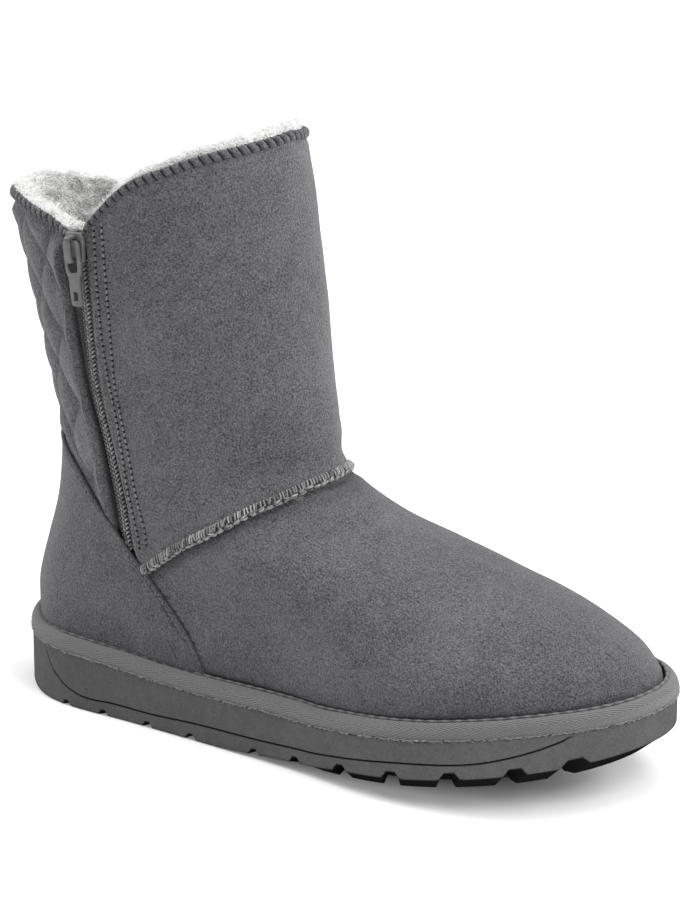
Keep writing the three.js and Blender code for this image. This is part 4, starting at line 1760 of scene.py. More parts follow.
# ---- seam, counter -------------------------------------------------------------------------
@dataclass
class VampSeam:
    """Raised overlocked seam between shaft and vamp, from counter edge to counter edge."""

    half_width: float = 1.9
    height: float = 1.75
    wrap_pitch: float = 1.35
    lump_pitch: float = 3.5
    lump_threads: int = 6
    fluff: int = 1800
    thread: float = 0.36
    loop: float = 0.3

    def route(self) -> Route:
        """Line of the seam over both sides of the boot.

        Returns:
            The route, from the counter's lateral edge to its medial edge.
        """
        share = np.linspace(0.2, 1.0, 400)
        half = []
        for side in (-1, 1):
            sides = np.full(share.shape, side)
            z = LAST.height_on(sides, share, CLOTH.seam, 55, 115)
            x = LAST.face(sides, share, z)[:, 0]
            ahead = z > LAST.counter_edge(x) - 1.2
            half.append((sides[ahead], share[ahead], z[ahead]))
        medial = [a[::-1][1:] for a in half[1]]
        side, share, z = (np.concatenate([a, b]) for a, b in zip(half[0], medial))
        return Route(*CLOTH.surface(side, share, z, 0.3))

    def build(self) -> None:
        """Makes the padded ridge, the threads wrapped over it, its loops and its fluff."""
        route = self.route()
        total = route.lengths()[-1]
        places = np.arange(0, total, 0.7)
        middle, along, out = route.at(places)
        across = np.cross(along, out)
        turn = np.linspace(-0.35, math.pi + 0.35, 14)
        swell = 1 + 0.08 * soft_noise(middle, 5.0, 51)[:, None, None]
        grid = (
            middle[:, None]
            + across[:, None] * (self.half_width * np.cos(turn))[:, None] * swell
            + out[:, None] * (self.height * np.sin(turn) - 0.5)[:, None] * swell
        )
        ridge = skin_of(grid, wrap_rows=False)
        # Painted shade: the whole ridge is darkened, so that the gaps between its threads look dark.
        ridge.marks = {"shade": np.full(len(ridge.points), 0.72)}
        show("vamp_seam_ridge", ridge, SUEDE)
        self.wraps(route, total)
        self.fuzz(route, total)

    def wraps(self, route: Route, total: float) -> None:
        """Overlock threads: slanted arches over the ridge, with a loop at each lower end.

        Args:
            route: Line of the seam.
            total: Its length.
        """
        rng = np.random.default_rng(5)
        places = np.arange(0.5, total - 0.5, self.wrap_pitch)
        places = places + rng.normal(0, 0.18, places.shape)
        turn = np.linspace(0.36 * math.pi, 1.06 * math.pi, 7)
        lean = (turn / math.pi - 0.7) * (1.6 + rng.normal(0, 0.8, (len(places), 1)))
        paths = self.over(route, places[:, None] + lean, turn[None] + 0 * lean, 0.12)
        skin = tubes(paths, self.thread, 5, np.clip(rng.normal(0.4, 0.22, len(places)), 0.0, 1.0))
        lumps = np.arange(1.5, total - 1.5, self.lump_pitch)
        count = len(lumps) * self.lump_threads
        centre = np.repeat(lumps, self.lump_threads) + rng.normal(0, 0.3, count)
        height = rng.uniform(-0.02, 0.34, count) * math.pi
        u = np.linspace(-1, 1, 5)[None]
        reach = rng.uniform(0.9, 1.5, (count, 1))
        slope = rng.normal(0.12, 0.16, (count, 1))
        proud = rng.uniform(0.05, 0.35, (count, 1)) * (1 - u**2)
        paths = self.over(route, centre[:, None] + u * reach, height[:, None] + slope * u, proud)
        bright = np.clip(rng.normal(0.5, 0.26, count), 0.0, 1.0)
        skin = skin.joined(tubes(paths, self.loop * np.sqrt(1 - (0.85 * u) ** 2), 5, bright))
        show("vamp_seam_overlock", skin, SEAM_THREAD)

    def over(self, route: Route, places: Array, turn: Array, proud: Array | float) -> Array:
        """Points over the ridge, from arc lengths and turns from its lower to its upper foot.

        Args:
            route: Line of the seam.
            places: Arc lengths, shape (threads, stations).
            turn: Turns in radians, of the same shape.
            proud: Distance above the ridge.

        Returns:
            Points, shape (threads, stations, 3).
        """
        middle, along, out = (v.reshape(*places.shape, 3) for v in route.at(places.ravel()))
        across = np.cross(along, out)
        wide = (self.half_width + proud) * np.cos(turn)
        tall = (self.height + proud) * np.sin(turn) - 0.4
        return middle + across * wide[..., None] + out * tall[..., None]

    def fuzz(self, route: Route, total: float) -> None:
        """Short pale fibres that stand out of the seam.

        Args:
            route: Line of the seam.
            total: Its length.
        """
        rng = np.random.default_rng(6)
        middle, along, out = route.at(rng.uniform(0, total, self.fluff))
        across = np.cross(along, out)
        turn = rng.uniform(0.0, math.pi, self.fluff)[:, None]
        away = across * np.cos(turn) + out * np.sin(turn)
        flat = across * np.cos(turn) * self.half_width + out * (np.sin(turn) * self.height - 0.3)
        lean = unit(away + rng.normal(0, 0.8, away.shape))
        u = np.linspace(0, 1, 3)[None, :, None]
        length = rng.uniform(0.5, 1.2, self.fluff)[:, None, None]
        paths = (middle + flat)[:, None] + lean[:, None] * u * length
        radii = 0.09 * (1 - 0.7 * u[..., 0])
        skin = tubes(paths, radii, 3, rng.uniform(0.2, 0.9, self.fluff))
        show("vamp_seam_fluff", skin, SEAM_THREAD)


@dataclass
class HeelCounter:
    """Smooth heel counter that stands proud of the upper, with a turned edge and a stitch row."""

    columns: int = 190
    thickness: float = 1.05
    lowest: float = 7.3
    end_share: float = 0.5
    groove: float = 2.7
    drops: tuple[float, ...] = (
        0, 0.15, 0.35, 0.6, 0.9, 1.2, 1.6, 2.0, 2.35, 2.7, 3.05, 3.5, 4.2, 5.2, 6.5, 8, 10,
    )  # fmt: skip

    def profile(self, gap: Array) -> Array:
        """Outer height by distance from the edge: a root, a welt's bell and a groove's bell.

        Args:
            gap: Distance from the edge.

        Returns:
            Heights.
        """
        welt = 0.35 * hump(gap - 1.3, 0.8)
        groove = -0.55 * hump(gap - self.groove, 0.55)
        return 0.35 + (self.thickness - 0.35) * np.sqrt(np.clip(gap / 0.9, 0, 1)) + welt + groove

    def ends(self) -> tuple[Array, Array, Array, Array]:
        """Columns from the lateral end round the heel to the medial end.

        Returns:
            Sides, shares, lowest heights and edge heights.
        """
        share = np.linspace(0, self.end_share, 400)
        limits = []
        for side in (-1, 1):
            sides = np.full(share.shape, side)
            top = LAST.height_on(sides, share, LAST.counter_edge, 20, 118)
            foot = LAST.sole_top(LAST.plan(sides, share, LAST.inset)[0]) + self.lowest
            limits.append(share[np.argmax(top - foot < 0.6)])
        half = self.columns // 2
        lateral, medial = (np.linspace(0, limit, half) for limit in limits)
        side = np.concatenate([-np.ones(half), np.ones(half - 1)])
        share = np.concatenate([lateral[::-1], medial[1:]])
        top = LAST.height_on(side, share, LAST.counter_edge, 20, 118)
        foot = LAST.sole_top(LAST.plan(side, share, LAST.inset)[0]) + self.lowest
        return side, share, foot, np.maximum(top, foot + 0.5)

    def grid(self) -> tuple[Array, Array, Route]:
        """Closed grid of the counter, with rows close together near its edge.

        Returns:
            Points of the closed grid, their painted shade, and the route of the stitch row.
        """
        side, share, foot, top = self.ends()
        tall = top - foot
        near = np.array(self.drops)
        squeeze = np.minimum(tall / 14.0, 1.0)
        rest = np.linspace(0, 1, 26)[1:]
        down = near[:, None] * squeeze
        drop = np.concatenate([down, down[-1] + (tall - down[-1]) * rest[:, None]])
        z = top - drop
        points = LAST.face(side, share, z)
        normals = LAST.normal(side, share, z)
        steps = np.linalg.norm(np.gradient(points[0], axis=0), axis=-1)
        slope = np.gradient(top, axis=0) / np.maximum(steps, 1e-6)
        gap = drop * np.sqrt(np.clip(1 - slope**2, 0.2, 1.0))
        raised = self.profile(gap) + CLOTH.ripple(points)
        outer = points + normals * raised[..., None]
        back = [0, 20, -1]
        inner = points[back] + normals[back] * (0.1 + CLOTH.ripple(points[back]))[..., None]
        sewn = int(np.argmin(np.abs(near - self.groove)))
        wide = squeeze > 0.99
        row = Route(outer[sewn][wide], normals[sewn][wide])
        rise = z - LAST.feather(side, share)
        # Painted shade at the counter's edge, in its stitch groove and along the strip.
        dark = np.maximum(0.55 * hump(gap, 0.25), 0.42 * hump(gap - self.groove, 0.45))
        dark = np.maximum(dark, np.maximum(0.6 * hump(rise, 2.4), 0.3 * hump(rise, 11.0)))
        dark = np.concatenate([dark[::-1], 0 * dark[:3]])
        return np.concatenate([outer[::-1], inner]), dark, row

    def build(self) -> None:
        """Makes the counter and its stitch row."""
        grid, dark, row = self.grid()
        skin = skin_of(grid, True, False)
        skin.marks = {"shade": dark.ravel()}
        show("heel_counter_skin", skin, COUNTER_SUEDE, ["heel_counter"])
        threads = Sewing(pitch=2.4, length=1.8, radius=0.2, height=0.0).threads(row)
        show("heel_counter_stitches", threads, SUEDE_THREAD)


# ---- sole ----------------------------------------------------------------------------------
@dataclass
class SoleStrip:
    """Cloth-wrapped strip round the sole's top edge, and the sewn lip above it."""

    columns: int = 420
    profile: Rows = (
        (4.4, 0.3), (4.4, 6.0), (3.9, 6.6), (3.2, 6.8), (2.4, 6.65), (1.6, 6.2), (0.9, 5.6),
        (0.35, 4.9), (-0.1, 4.1), (-0.4, 3.3), (-0.6, 2.5), (-0.6, 1.7), (-0.4, 0.9), (-0.15, 0.3),
    )  # fmt: skip
    # Painted shade by row: dark under the lip at the top, and a thin dark line at the bottom edge.
    shades: tuple[float, ...] = (1, 1, 0.85, 0.2, 0, 0, 0, 0, 0, 0, 0, 0, 0.15, 0.7)
    lip_columns: int = 1300
    lip_inset: float = 4.05
    lip_rise: float = 7.05
    stitch_pitch: float = 5.2
    frayed: int = 2400
    fray_inset: float = -0.45

    def build(self) -> None:
        """Makes the strip with cloth coordinates in millimetres along and across it."""
        side, share = both_sides(self.columns // 2)
        rows = []
        for inset, rise in self.profile:
            x, y = LAST.plan(side, share, inset)
            rows.append(np.stack([x, y, LAST.sole_top(x) + rise], -1))
        grid = np.stack(rows)
        wave = 0.12 * soft_noise(grid, 12.0, 61)
        grid[2:-1, :, 2] += wave[2:-1]
        along = np.append(*loop_lengths(grid[8]))
        across, width = loop_lengths(np.array(self.profile))
        skin = skin_of(grid)
        # Painted shade of the strip's rows.
        skin.marks = {"shade": np.repeat(np.array(self.shades, float), self.columns)}
        r, c = corner_places(len(rows), self.columns)
        skin.uv = np.stack([along[c], np.append(across, width)[r]], -1)
        show("sole_strip_cloth", skin, STRIP_CLOTH, ["sole_strip"])
        self.lip()

    def lip(self) -> None:
        """Thin sewn lip on top of the strip, with a bump at every stitch."""
        side, share = both_sides(self.lip_columns // 2)
        x, y = LAST.plan(side, share, self.lip_inset)
        middle = np.stack([x, y, LAST.sole_top(x) + self.lip_rise], -1)
        along, total = loop_lengths(middle)
        bump = 1 + 0.16 * np.cos(2 * np.pi * round(total / self.stitch_pitch) * along / total)
        inward = unit(np.stack([*LAST.plan(side, share, 6.0), 0 * x], -1) - np.stack([x, y, 0 * x], -1))
        turn = 2 * np.pi * np.arange(8)[:, None, None] / 8
        ring = -inward * np.cos(turn) * 0.55 + UP * np.sin(turn) * 0.48
        skin = skin_of(middle + ring * bump[:, None])
        skin.marks = {"tone": np.tile(0.1 + 2.2 * (bump - 0.9), 8)}
        show("strip_lip", skin, SUEDE_THREAD)
        self.fray()

    def fray(self) -> None:
        """Pale frayed threads along the strip's lower edge."""
        rng = np.random.default_rng(14)
        count = self.frayed
        share = rng.uniform(0, 1, count)
        side = np.where(rng.uniform(0, 1, count) < 0.5, -1.0, 1.0)
        x, y = LAST.plan(side, share, self.fray_inset)
        foot = np.stack([x, y, LAST.sole_top(x) + rng.uniform(0.1, 0.8, count)], -1)
        ahead_x, ahead_y = LAST.plan(side, np.minimum(share + 0.002, 1), self.fray_inset)
        climb = LAST.sole_top(ahead_x) - LAST.sole_top(x)
        along = unit(np.stack([ahead_x - x, ahead_y - y, climb], -1))
        lean = unit(along + rng.normal(0, 0.3, along.shape) * np.array([1, 1, 1.4]))
        u = np.linspace(-1, 1, 4)[None, :, None]
        paths = foot[:, None] + lean[:, None] * u * rng.uniform(0.4, 1.4, (count, 1, 1))
        skin = tubes(paths, 0.13 * (1 - 0.5 * u[..., 0] ** 2), 4, rng.uniform(0.3, 1.0, count))
        show("strip_fray", skin, FRAY_THREAD)


@dataclass
class Outsole:
    """Moulded sole: side wall with a scored panel line, notched edge, bevels and tread."""

    notches: tuple[tuple[float, float, float, float], ...] = (
        (36, 4.2, 1.8, 1.7), (55, 4.4, 1.9, 1.8), (77.2, 4.7, 2.0, 1.9), (98.9, 5.2, 2.1, 2.0),
        (130.5, 5.3, 2.1, 2.1), (151.2, 5.6, 2.3, 2.2), (174, 7.0, 3.0, 2.4), (198.2, 7.8, 3.8, 2.6),
        (222, 8.0, 4.0, 2.7), (244.9, 7.6, 4.0, 2.7), (262.6, 8.0, 4.0, 2.8),
    )  # fmt: skip
    panel_line: Curve = Curve(
        (
            (20, 30), (23.5, 22.2), (27.3, 15.2), (32.7, 10.2), (38.5, 7.2), (44.2, 5.8), (59.5, 6),
            (78.8, 6), (100.9, 7.2), (121.6, 7.8), (133.8, 8.3), (161.5, 10.4), (176.9, 11.1),
            (198.4, 12), (237.7, 12.2), (247.9, 13.8), (255, 15.5), (260.7, 17.8), (266, 24),
        )
    )  # fmt: skip
    cross_grooves: tuple[float, ...] = (68, 92, 116, 178, 202, 226)
    # Rows of the scored panel line: height off the line, inset, and painted shade in its groove.
    score: tuple[tuple[float, float, float], ...] = (
        (0.8, 0, 0), (0.4, 0.02, 0.1), (0.24, 0.7, 0.9), (-0.18, 0.9, 0.9), (-0.36, 0.3, 0.5), (-0.6, 0, 0),
    )  # fmt: skip
    edge: float = 0.8
    bevel: float = 8.2
    cross_width: float = 4.0
    cross_slope: float = 0.15
    groove_inset: float = 17.0
    groove_depth: float = 3.0
    pad_inset: float = 19.0
    lid_inset: float = 6.0

    def shares(self) -> Array:
        """Shares of the columns: even ones, and one at every corner of notches and grooves.

        Returns:
            Rising shares.
        """
        corners = []
        for x, mouth, roof, _ in self.notches:
            corners += [x - mouth / 2, x - roof / 2, x + roof / 2, x + mouth / 2]
        for x in self.cross_grooves:
            half, slope = self.cross_width / 2, self.cross_slope
            corners += [x - half - slope, x - half, x + half, x + half + slope]
        sharp = np.sort(np.arccos(1 - 2 * np.array(corners) / LAST.length) / np.pi)
        even = np.linspace(0, 1, 150)
        far = np.abs(even[:, None] - sharp[None]).min(1) > 0.0018
        far[[0, -1]] = True
        return np.unique(np.concatenate([even[far], sharp]))

    def in_notch(self, x: Array) -> Array:
        """1 where a notch opens in the edge, else 0."""
        return np.max([np.abs(x - n[0]) <= n[1] / 2 + 0.02 for n in self.notches], axis=0) * 1.0

    def lift(self, x: Array, edge_x: Array, inset: float) -> Array:
        """How far a notch raises the tread: a trapezoid along the edge, sloped inwards.

        Args:
            x: Places at this inset.
            edge_x: Places of the same columns at the edge.
            inset: Distance inside the edge.

        Returns:
            Heights above the plain underside.
        """
        raised = np.zeros_like(x)
        inner = min(inset / self.groove_inset, 1.0)
        for middle, mouth, roof, height in self.notches:
            span = np.clip((mouth / 2 - np.abs(edge_x - middle)) / ((mouth - roof) / 2), 0, 1)
            roof_z = (1 - inner) * (LAST.edge_bottom(x) + height) + inner * (LAST.toe_spring(x) + 3.0)
            floor = self.floor(x, inset)
            raised = np.maximum(raised, span * np.maximum(roof_z - floor, 0))
        return raised

    def floor(self, x: Array, inset: float) -> Array:
        """Height of the tread's plain underside at an inset: bevelled edge, then flat."""
        share = np.clip((inset - self.edge) / self.bevel, 0, 1)
        return (1 - share) * LAST.edge_bottom(x) + share * LAST.toe_spring(x)

    def build(self) -> None:
        """Makes the sole from rings: top edge, side wall, bevel, tread ring, groove and pad."""
        share = self.shares()
        count = len(share)
        ring_share = np.concatenate([share, share[::-1][1:-1]])
        side = np.concatenate([-np.ones(count), np.ones(count - 2)])
        rows: list[Array] = []
        dark: list[Array] = []
        edge_x = LAST.plan(side, ring_share, 0.0)[0]
        in_notch = self.in_notch(edge_x)

        def add(
            inset: Array | float,
            z_of: Callable[[Array], Array],
            shade: Array | float = 0.0,
            notch: float = 0.0,
        ) -> None:
            """Adds a ring.

            Args:
                inset: Distance inside the edge.
                z_of: Height from x.
                shade: Painted shade outside the notches.
                notch: Painted shade in the notches.
            """
            x, y = LAST.plan(side, ring_share, inset)
            rows.append(np.stack([x, y, z_of(x)], -1))
            dark.append(np.maximum(shade, notch * in_notch) + 0 * x)

        wall_top = LAST.sole_top
        add(self.lid_inset, wall_top)
        add(0.4, wall_top)

        def wall_low(x: Array) -> Array:
            """Lower end of the side wall, over the notches."""
            return LAST.edge_bottom(x) + self.edge + self.lift(x, edge_x, 0.0)

        def panel(x: Array) -> Array:
            """Height of the panel line, kept between the wall's ends."""
            line = LAST.toe_spring(x) + self.panel_line(x)
            return np.clip(line, wall_low(x) + 0.9, wall_top(x) - 1.0)

        def scored(x: Array) -> Array:
            """1 where the panel line is on the wall, 0 where it has run off the top."""
            line = LAST.toe_spring(x) + self.panel_line(x)
            return smooth_step((wall_top(x) - 1.0 - line) / 1.0)

        for f in (0.0, 0.12, 0.3, 0.5, 0.7, 0.88):
            add(0.0, lambda x, f=f: (wall_top(x) - 0.4) + (panel(x) + 0.7 - wall_top(x) + 0.4) * f)
        shown = scored(edge_x)
        for off, depth, shade in self.score:
            add(depth * shown, lambda x, off=off: panel(x) + off, shade * shown)
        for f in (0.3, 0.6, 0.85, 1.0):
            add(0.0, lambda x, f=f: panel(x) - 0.5 + (wall_low(x) - panel(x) + 0.5) * f)
        # Painted shade: from the wall's lower edge inwards, the notches, the bevel, the ring groove and the
        # tread are darkened to near black as in shadow under the sole.
        add(0.25, lambda x: LAST.edge_bottom(x) + 0.24 + self.lift(x, edge_x, 0.3), 0.25, 0.9)
        for inset in (0.5, 0.8, 3.5, 6.2, 9.0, 12.0, 15.0):
            shade = 0.9 if inset < self.edge else 0.97
            add(
                inset,
                lambda x, inset=inset: self.floor(x, inset) + self.lift(x, edge_x, inset),
                shade,
                0.97,
            )
        for inset in (15.5, self.pad_inset - 0.5):
            add(inset, lambda x: LAST.toe_spring(x) + self.groove_depth, 0.97)
        add(self.pad_inset, LAST.toe_spring, 0.9)
        outer = skin_of(np.stack(rows)[::-1], wrap_rows=False)
        outer.faces = outer.faces[:1]
        outer.marks = {"shade": np.stack(dark)[::-1].ravel()}
        mesh = outer.joined(self.pad(share)).joined(self.lid(share)).mesh("outsole_moulding")
        weld(mesh)
        mesh.set_sharp_from_angle(angle=math.radians(32))
        show("outsole_moulding", mesh, RUBBER, ["outsole"])

    def across(self, share: Array, inset: float, steps: int) -> Array:
        """Grid of points straight across the sole, from lateral to medial.

        Args:
            share: Shares of the rows.
            inset: Distance inside the edge.
            steps: Points in a row.

        Returns:
            x and y, shape (rows, steps, 2).
        """
        ones = np.ones_like(share)
        x, low = LAST.plan(-ones, share, inset)
        _, high = LAST.plan(ones, share, inset)
        f = np.linspace(0, 1, steps)[None]
        return np.stack([x[:, None] + 0 * f, low[:, None] + (high - low)[:, None] * f], -1)

    def pad(self, share: Array) -> Skin:
        """Tread inside the ring groove, cut by the cross grooves.

        Args:
            share: Shares of the rows.

        Returns:
            The tread's skin, open at its rim.
        """
        flat = self.across(share, self.pad_inset, 9)
        x = flat[..., 0]
        near = np.min([np.abs(x - g) for g in self.cross_grooves], axis=0)
        cut = np.clip((self.cross_width / 2 + self.cross_slope - near) / self.cross_slope, 0, 1)
        cut[:, [0, -1]] = 0
        z = LAST.toe_spring(x) + self.groove_depth * cut
        grid = np.concatenate([flat, z[..., None]], -1)
        made = Skin(grid.reshape(-1, 3), [grid_faces(*grid.shape[:2], False, False)])
        # Painted shade: the tread is darkened as in shadow under the sole.
        made.marks = {"shade": np.full(len(made.points), 0.85)}
        return made

    def lid(self, share: Array) -> Skin:
        """Top of the sole, hidden under the upper.

        Args:
            share: Shares of the rows.

        Returns:
            The top's skin, open at its rim.
        """
        flat = self.across(share, self.lid_inset, 5)
        grid = np.concatenate([flat, LAST.sole_top(flat[..., :1])], -1)
        made = Skin(grid.reshape(-1, 3), [grid_faces(*grid.shape[:2], False, False)[:, ::-1]])
        made.marks = {"shade": np.zeros(len(made.points))}
        return made


# ---- zip -----------------------------------------------------------------------------------
@dataclass
class ZipChain:
    """Closed coil zip: woven tape, two rows of interlocked coil and the rows sewn beside it."""

    tape_half: float = 3.4
    tape_top: float = -1.95
    tape_bottom: float = -3.15
    pitch: float = 1.77
    coil_radius: float = 0.43
    coil_shift: float = 0.35

    def build(self) -> None:
        """Makes tape, coil and coil stitches."""
        z = np.linspace(ZIP.low, ZIP.high, 160)
        half, top, low = self.tape_half, self.tape_top, self.tape_bottom
        across = np.array([-half, -half, -half + 0.4, -1.5, 0, 1.5, half - 0.4, half, half, 0])
        out = np.array([low, top - 0.3, top, top + 0.1, top + 0.1, top + 0.1, top, top - 0.3, low, low])
        outer = np.array([1.0, 1.0, 1.0, 0, 0, 0, 0, 0, 0, 0]) * ZIP.wider(z)[:, None]
        grid = ZIP.place(z, across - outer, out)
        skin = skin_of(grid[:, ::-1], wrap_rows=False)
        around = np.append(*loop_lengths(np.stack([across, out], -1)))[::-1]
        r, c = corner_places(len(z) - 1, len(across))
        walls = np.stack([(z[r] - ZIP.low), around[c]], -1).reshape(-1, 2)
        skin.uv = np.concatenate([walls, np.zeros((2 * len(across), 2))])
        show("zip_tape", skin, TAPE_CLOTH, ["zip_chain"])
        self.coil()

    def coil(self) -> None:
        """Coil knuckles: arched capsules from each edge over the middle, in turn from each side."""
        z = np.arange(ZIP.low + 0.6, 189.5, self.pitch)
        u = np.linspace(0, 1, 8)
        across = 1.65 - 1.7 * u
        out = -1.75 + 1.2 * np.sin(np.pi * np.clip(u * 0.7 + 0.1, 0, 1))
        lean = 0.8 - 1.5 * u
        parts: Skin | None = None
        rng = np.random.default_rng(9)
        for side, start in ((1.0, 0.0), (-1.0, self.pitch / 2)):
            paths = ZIP.place(z + start, side * across + self.coil_shift, out, lean)
            radii = self.coil_radius * np.sqrt(1 - (1.84 * (u - 0.5)) ** 4)
            row = tubes(paths, radii, 6, rng.uniform(0.3, 0.9, len(z)))
            parts = row if parts is None else parts.joined(row)
        show("zip_coil", parts, COIL_PLASTIC)
        sewn = self.edge_stitches(z, -2.35).joined(self.edge_stitches(z, 2.75))
        show("zip_coil_stitches", sewn, SIDE_THREAD)

    def edge_stitches(self, z: Array, across: float) -> Skin:
        """Row of small stitches that holds the coil to the tape.

        Args:
            z: Heights of the stitches.
            across: Distance of the row from the zip's line.

        Returns:
            The stitches.
        """
        u = np.linspace(-1, 1, 4)
        paths = ZIP.place(z, across + 0.1 * u, -1.35 + 0.3 * (1 - u**2), u * 0.6)
        return tubes(paths, 0.3 * (1 - 0.35 * u**2), 5, np.full(len(z), 0.55))


Outline = list[tuple[float, float]]


def arc(start: tuple[float, float], control: tuple[float, float], end: tuple[float, float]) -> Outline:
    """Points of a quadratic curve: (1 - t)^2 a + 2 t (1 - t) b + t^2 c.

    Args:
        start: Its start, which is left out.
        control: Its control point.
        end: Its end.

    Returns:
        The points.
    """
    t = np.linspace(0, 1, 9)[1:, None]
    a, b, c = (np.array(p) for p in (start, control, end))
    return [tuple(p) for p in (1 - t) ** 2 * a + 2 * t * (1 - t) * b + t**2 * c]


def mirrored(half: Outline) -> Outline:
    """Outline made of a half on the right and its mirror image."""
    return half + [(-x, y) for x, y in reversed(half) if x != 0.0]


@dataclass
class ZipHardware:
    """Slider with its bridge, and the pull that hangs on it."""

    slider_z: float = 194.0
    plate_low: float = 0.3
    plate_high: float = 2.3
    bridge_clear: float = 2.9
    bridge_bar: float = 1.4
    bridge_width: float = 2.2
    pivot_along: float = 2.7
    pull_thickness: float = 1.4

    def plate(
        self, name: str, outlines: list[Outline], thickness: float, bevel: float
    ) -> bpy.types.Mesh:
        """Flat plate with rounded edges from an outline and its holes, as a mesh at the origin.

        Args:
            name: Name of the mesh.
            outlines: Outline and holes, in millimetres.
            thickness: Thickness of the plate.
            bevel: Radius of its edges.

        Returns:
            The mesh, in millimetres.
        """
        curve = bpy.data.curves.new(name, "CURVE")
        curve.dimensions, curve.fill_mode = "2D", "BOTH"
        curve.extrude, curve.bevel_depth = thickness / 2 - bevel, bevel
        curve.bevel_resolution, curve.offset = 2, -bevel
        for outline in outlines:
            spline = curve.splines.new("POLY")
            spline.points.add(len(outline) - 1)
            spline.points.foreach_set("co", np.array([(x, y, 0, 1) for x, y in outline]).ravel())
            spline.use_cyclic_u = True
        holder = bpy.data.objects.new(name, curve)
        bpy.context.scene.collection.objects.link(holder)
        bpy.context.view_layer.update()
        evaluated = holder.evaluated_get(bpy.context.evaluated_depsgraph_get())
        mesh = bpy.data.meshes.new_from_object(evaluated)
        bpy.data.objects.remove(holder)
        bpy.data.curves.remove(curve)
        mesh.name = name
        return mesh

    def settle(self, mesh: bpy.types.Mesh, origin: Array, axes: Array) -> bpy.types.Mesh:
        """Moves a mesh into the part's frame.

        Args:
            mesh: Mesh in millimetres.
            origin: Its origin on the last.
            axes: Its three axes as rows.

        Returns:
            The same mesh, in metres.
        """
        flat = np.empty(len(mesh.vertices) * 3, np.float32)
        mesh.vertices.foreach_get("co", flat)
        placed = (flat.reshape(-1, 3) @ axes + origin + LAST_TO_PART) * MM
        mesh.vertices.foreach_set("co", placed.astype(np.float32).ravel())
        mesh.materials.clear()
        weld(mesh)
        mesh.polygons.foreach_set("use_smooth", np.ones(len(mesh.polygons), bool))
        mesh.set_sharp_from_angle(angle=math.radians(50))
        return mesh

    def build(self) -> None:
        """Makes the slider's plate and bridge, and the pull."""
        origin, across, along, out = (v[0] for v in ZIP.axes(np.array([self.slider_z])))
        axes = np.stack([across, along, out])
        half = [(0.0, -6.0), (2.6, -6.0), *arc((2.6, -6), (3.4, -6), (3.6, -5)), (4.5, 1.2)]
        half += [*arc((4.5, 1.2), (4.7, 5.4), (3.4, 6)), (0.0, 6.0)]
        middle = (self.plate_low + self.plate_high) / 2
        plate = self.plate("slider_plate", [mirrored(half)], self.plate_high - self.plate_low, 0.45)
        self.settle(plate, origin + out * middle, axes)
        show("slider_plate", plate, CASTING, ["zip_slider"])
        self.bridge(origin, across, along, out)
        self.pull(origin, axes)

    def bridge(self, origin: Array, across: Array, along: Array, out: Array) -> None:
        """Bridge: an arch drawn along the zip and outwards, as wide as its depth across.

        Args:
            origin: Slider's place.
            across: Axis across the zip.
            along: Axis up the zip.
            out: Outward axis.
        """
        under = self.plate_high + self.bridge_clear
        over = under + self.bridge_bar
        sunk = self.plate_high - 0.6
        shoulder = arc((5.4, under - 0.4), (5.4, over), (3.4, over))
        outer = [(5.4, sunk), (5.4, under - 0.4), *shoulder, (0.0, over)]
        inner = [(3.4, under), (4.0, under - 0.6), (4.0, sunk)]
        outline = outer + [(-x, y) for x, y in reversed(outer[:-1])]
        outline += [(-x, y) for x, y in reversed(inner)] + inner
        arch = self.plate("slider_bridge", [outline], self.bridge_width, 0.4)
        self.settle(arch, origin, np.stack([along, out, across]))
        show("slider_bridge", arch, CASTING)

    def pull(self, origin: Array, axes: Array) -> None:
        """Pull tab: eye round the bridge, waist, and a small window near its end.

        Args:
            origin: Slider's place.
            axes: Slider's axes as rows.
        """
        bar, half, open_ = 0.75, 4.0, 2.3
        side = [(0.0, bar), (half - 1.6, bar), *arc((half - 1.6, bar), (half, bar - 0.2), (half, -2.4))]
        side += [(half, -9.6), *arc((half, -9.6), (half - 0.1, -12.6), (2.9, -14)), (2.6, -24.4)]
        side += [*arc((2.6, -24.4), (2.5, -25.6), (1.4, -25.6)), (0.0, -25.6)]
        eye = [(0.0, -bar), (open_ - 0.6, -bar), (open_, -bar - 0.8), (open_, -10.4)]
        eye += [*arc((open_, -10.4), (open_ - 0.2, -12.2), (0.0, -12.2))]
        window = [(0.0, -19.8), (1.1, -19.8), (1.1, -23.2), (0.0, -23.2)]
        outlines = [mirrored(half) for half in (side, eye, window)]
        tab = self.plate("zip_pull_tab", outlines, self.pull_thickness, 0.35)
        lift = self.plate_high + self.bridge_clear / 2
        self.settle(tab, origin + axes[1] * self.pivot_along + axes[2] * lift, axes)
        show("zip_pull_tab", tab, CASTING, ["zip_pull"], Body.PULL)


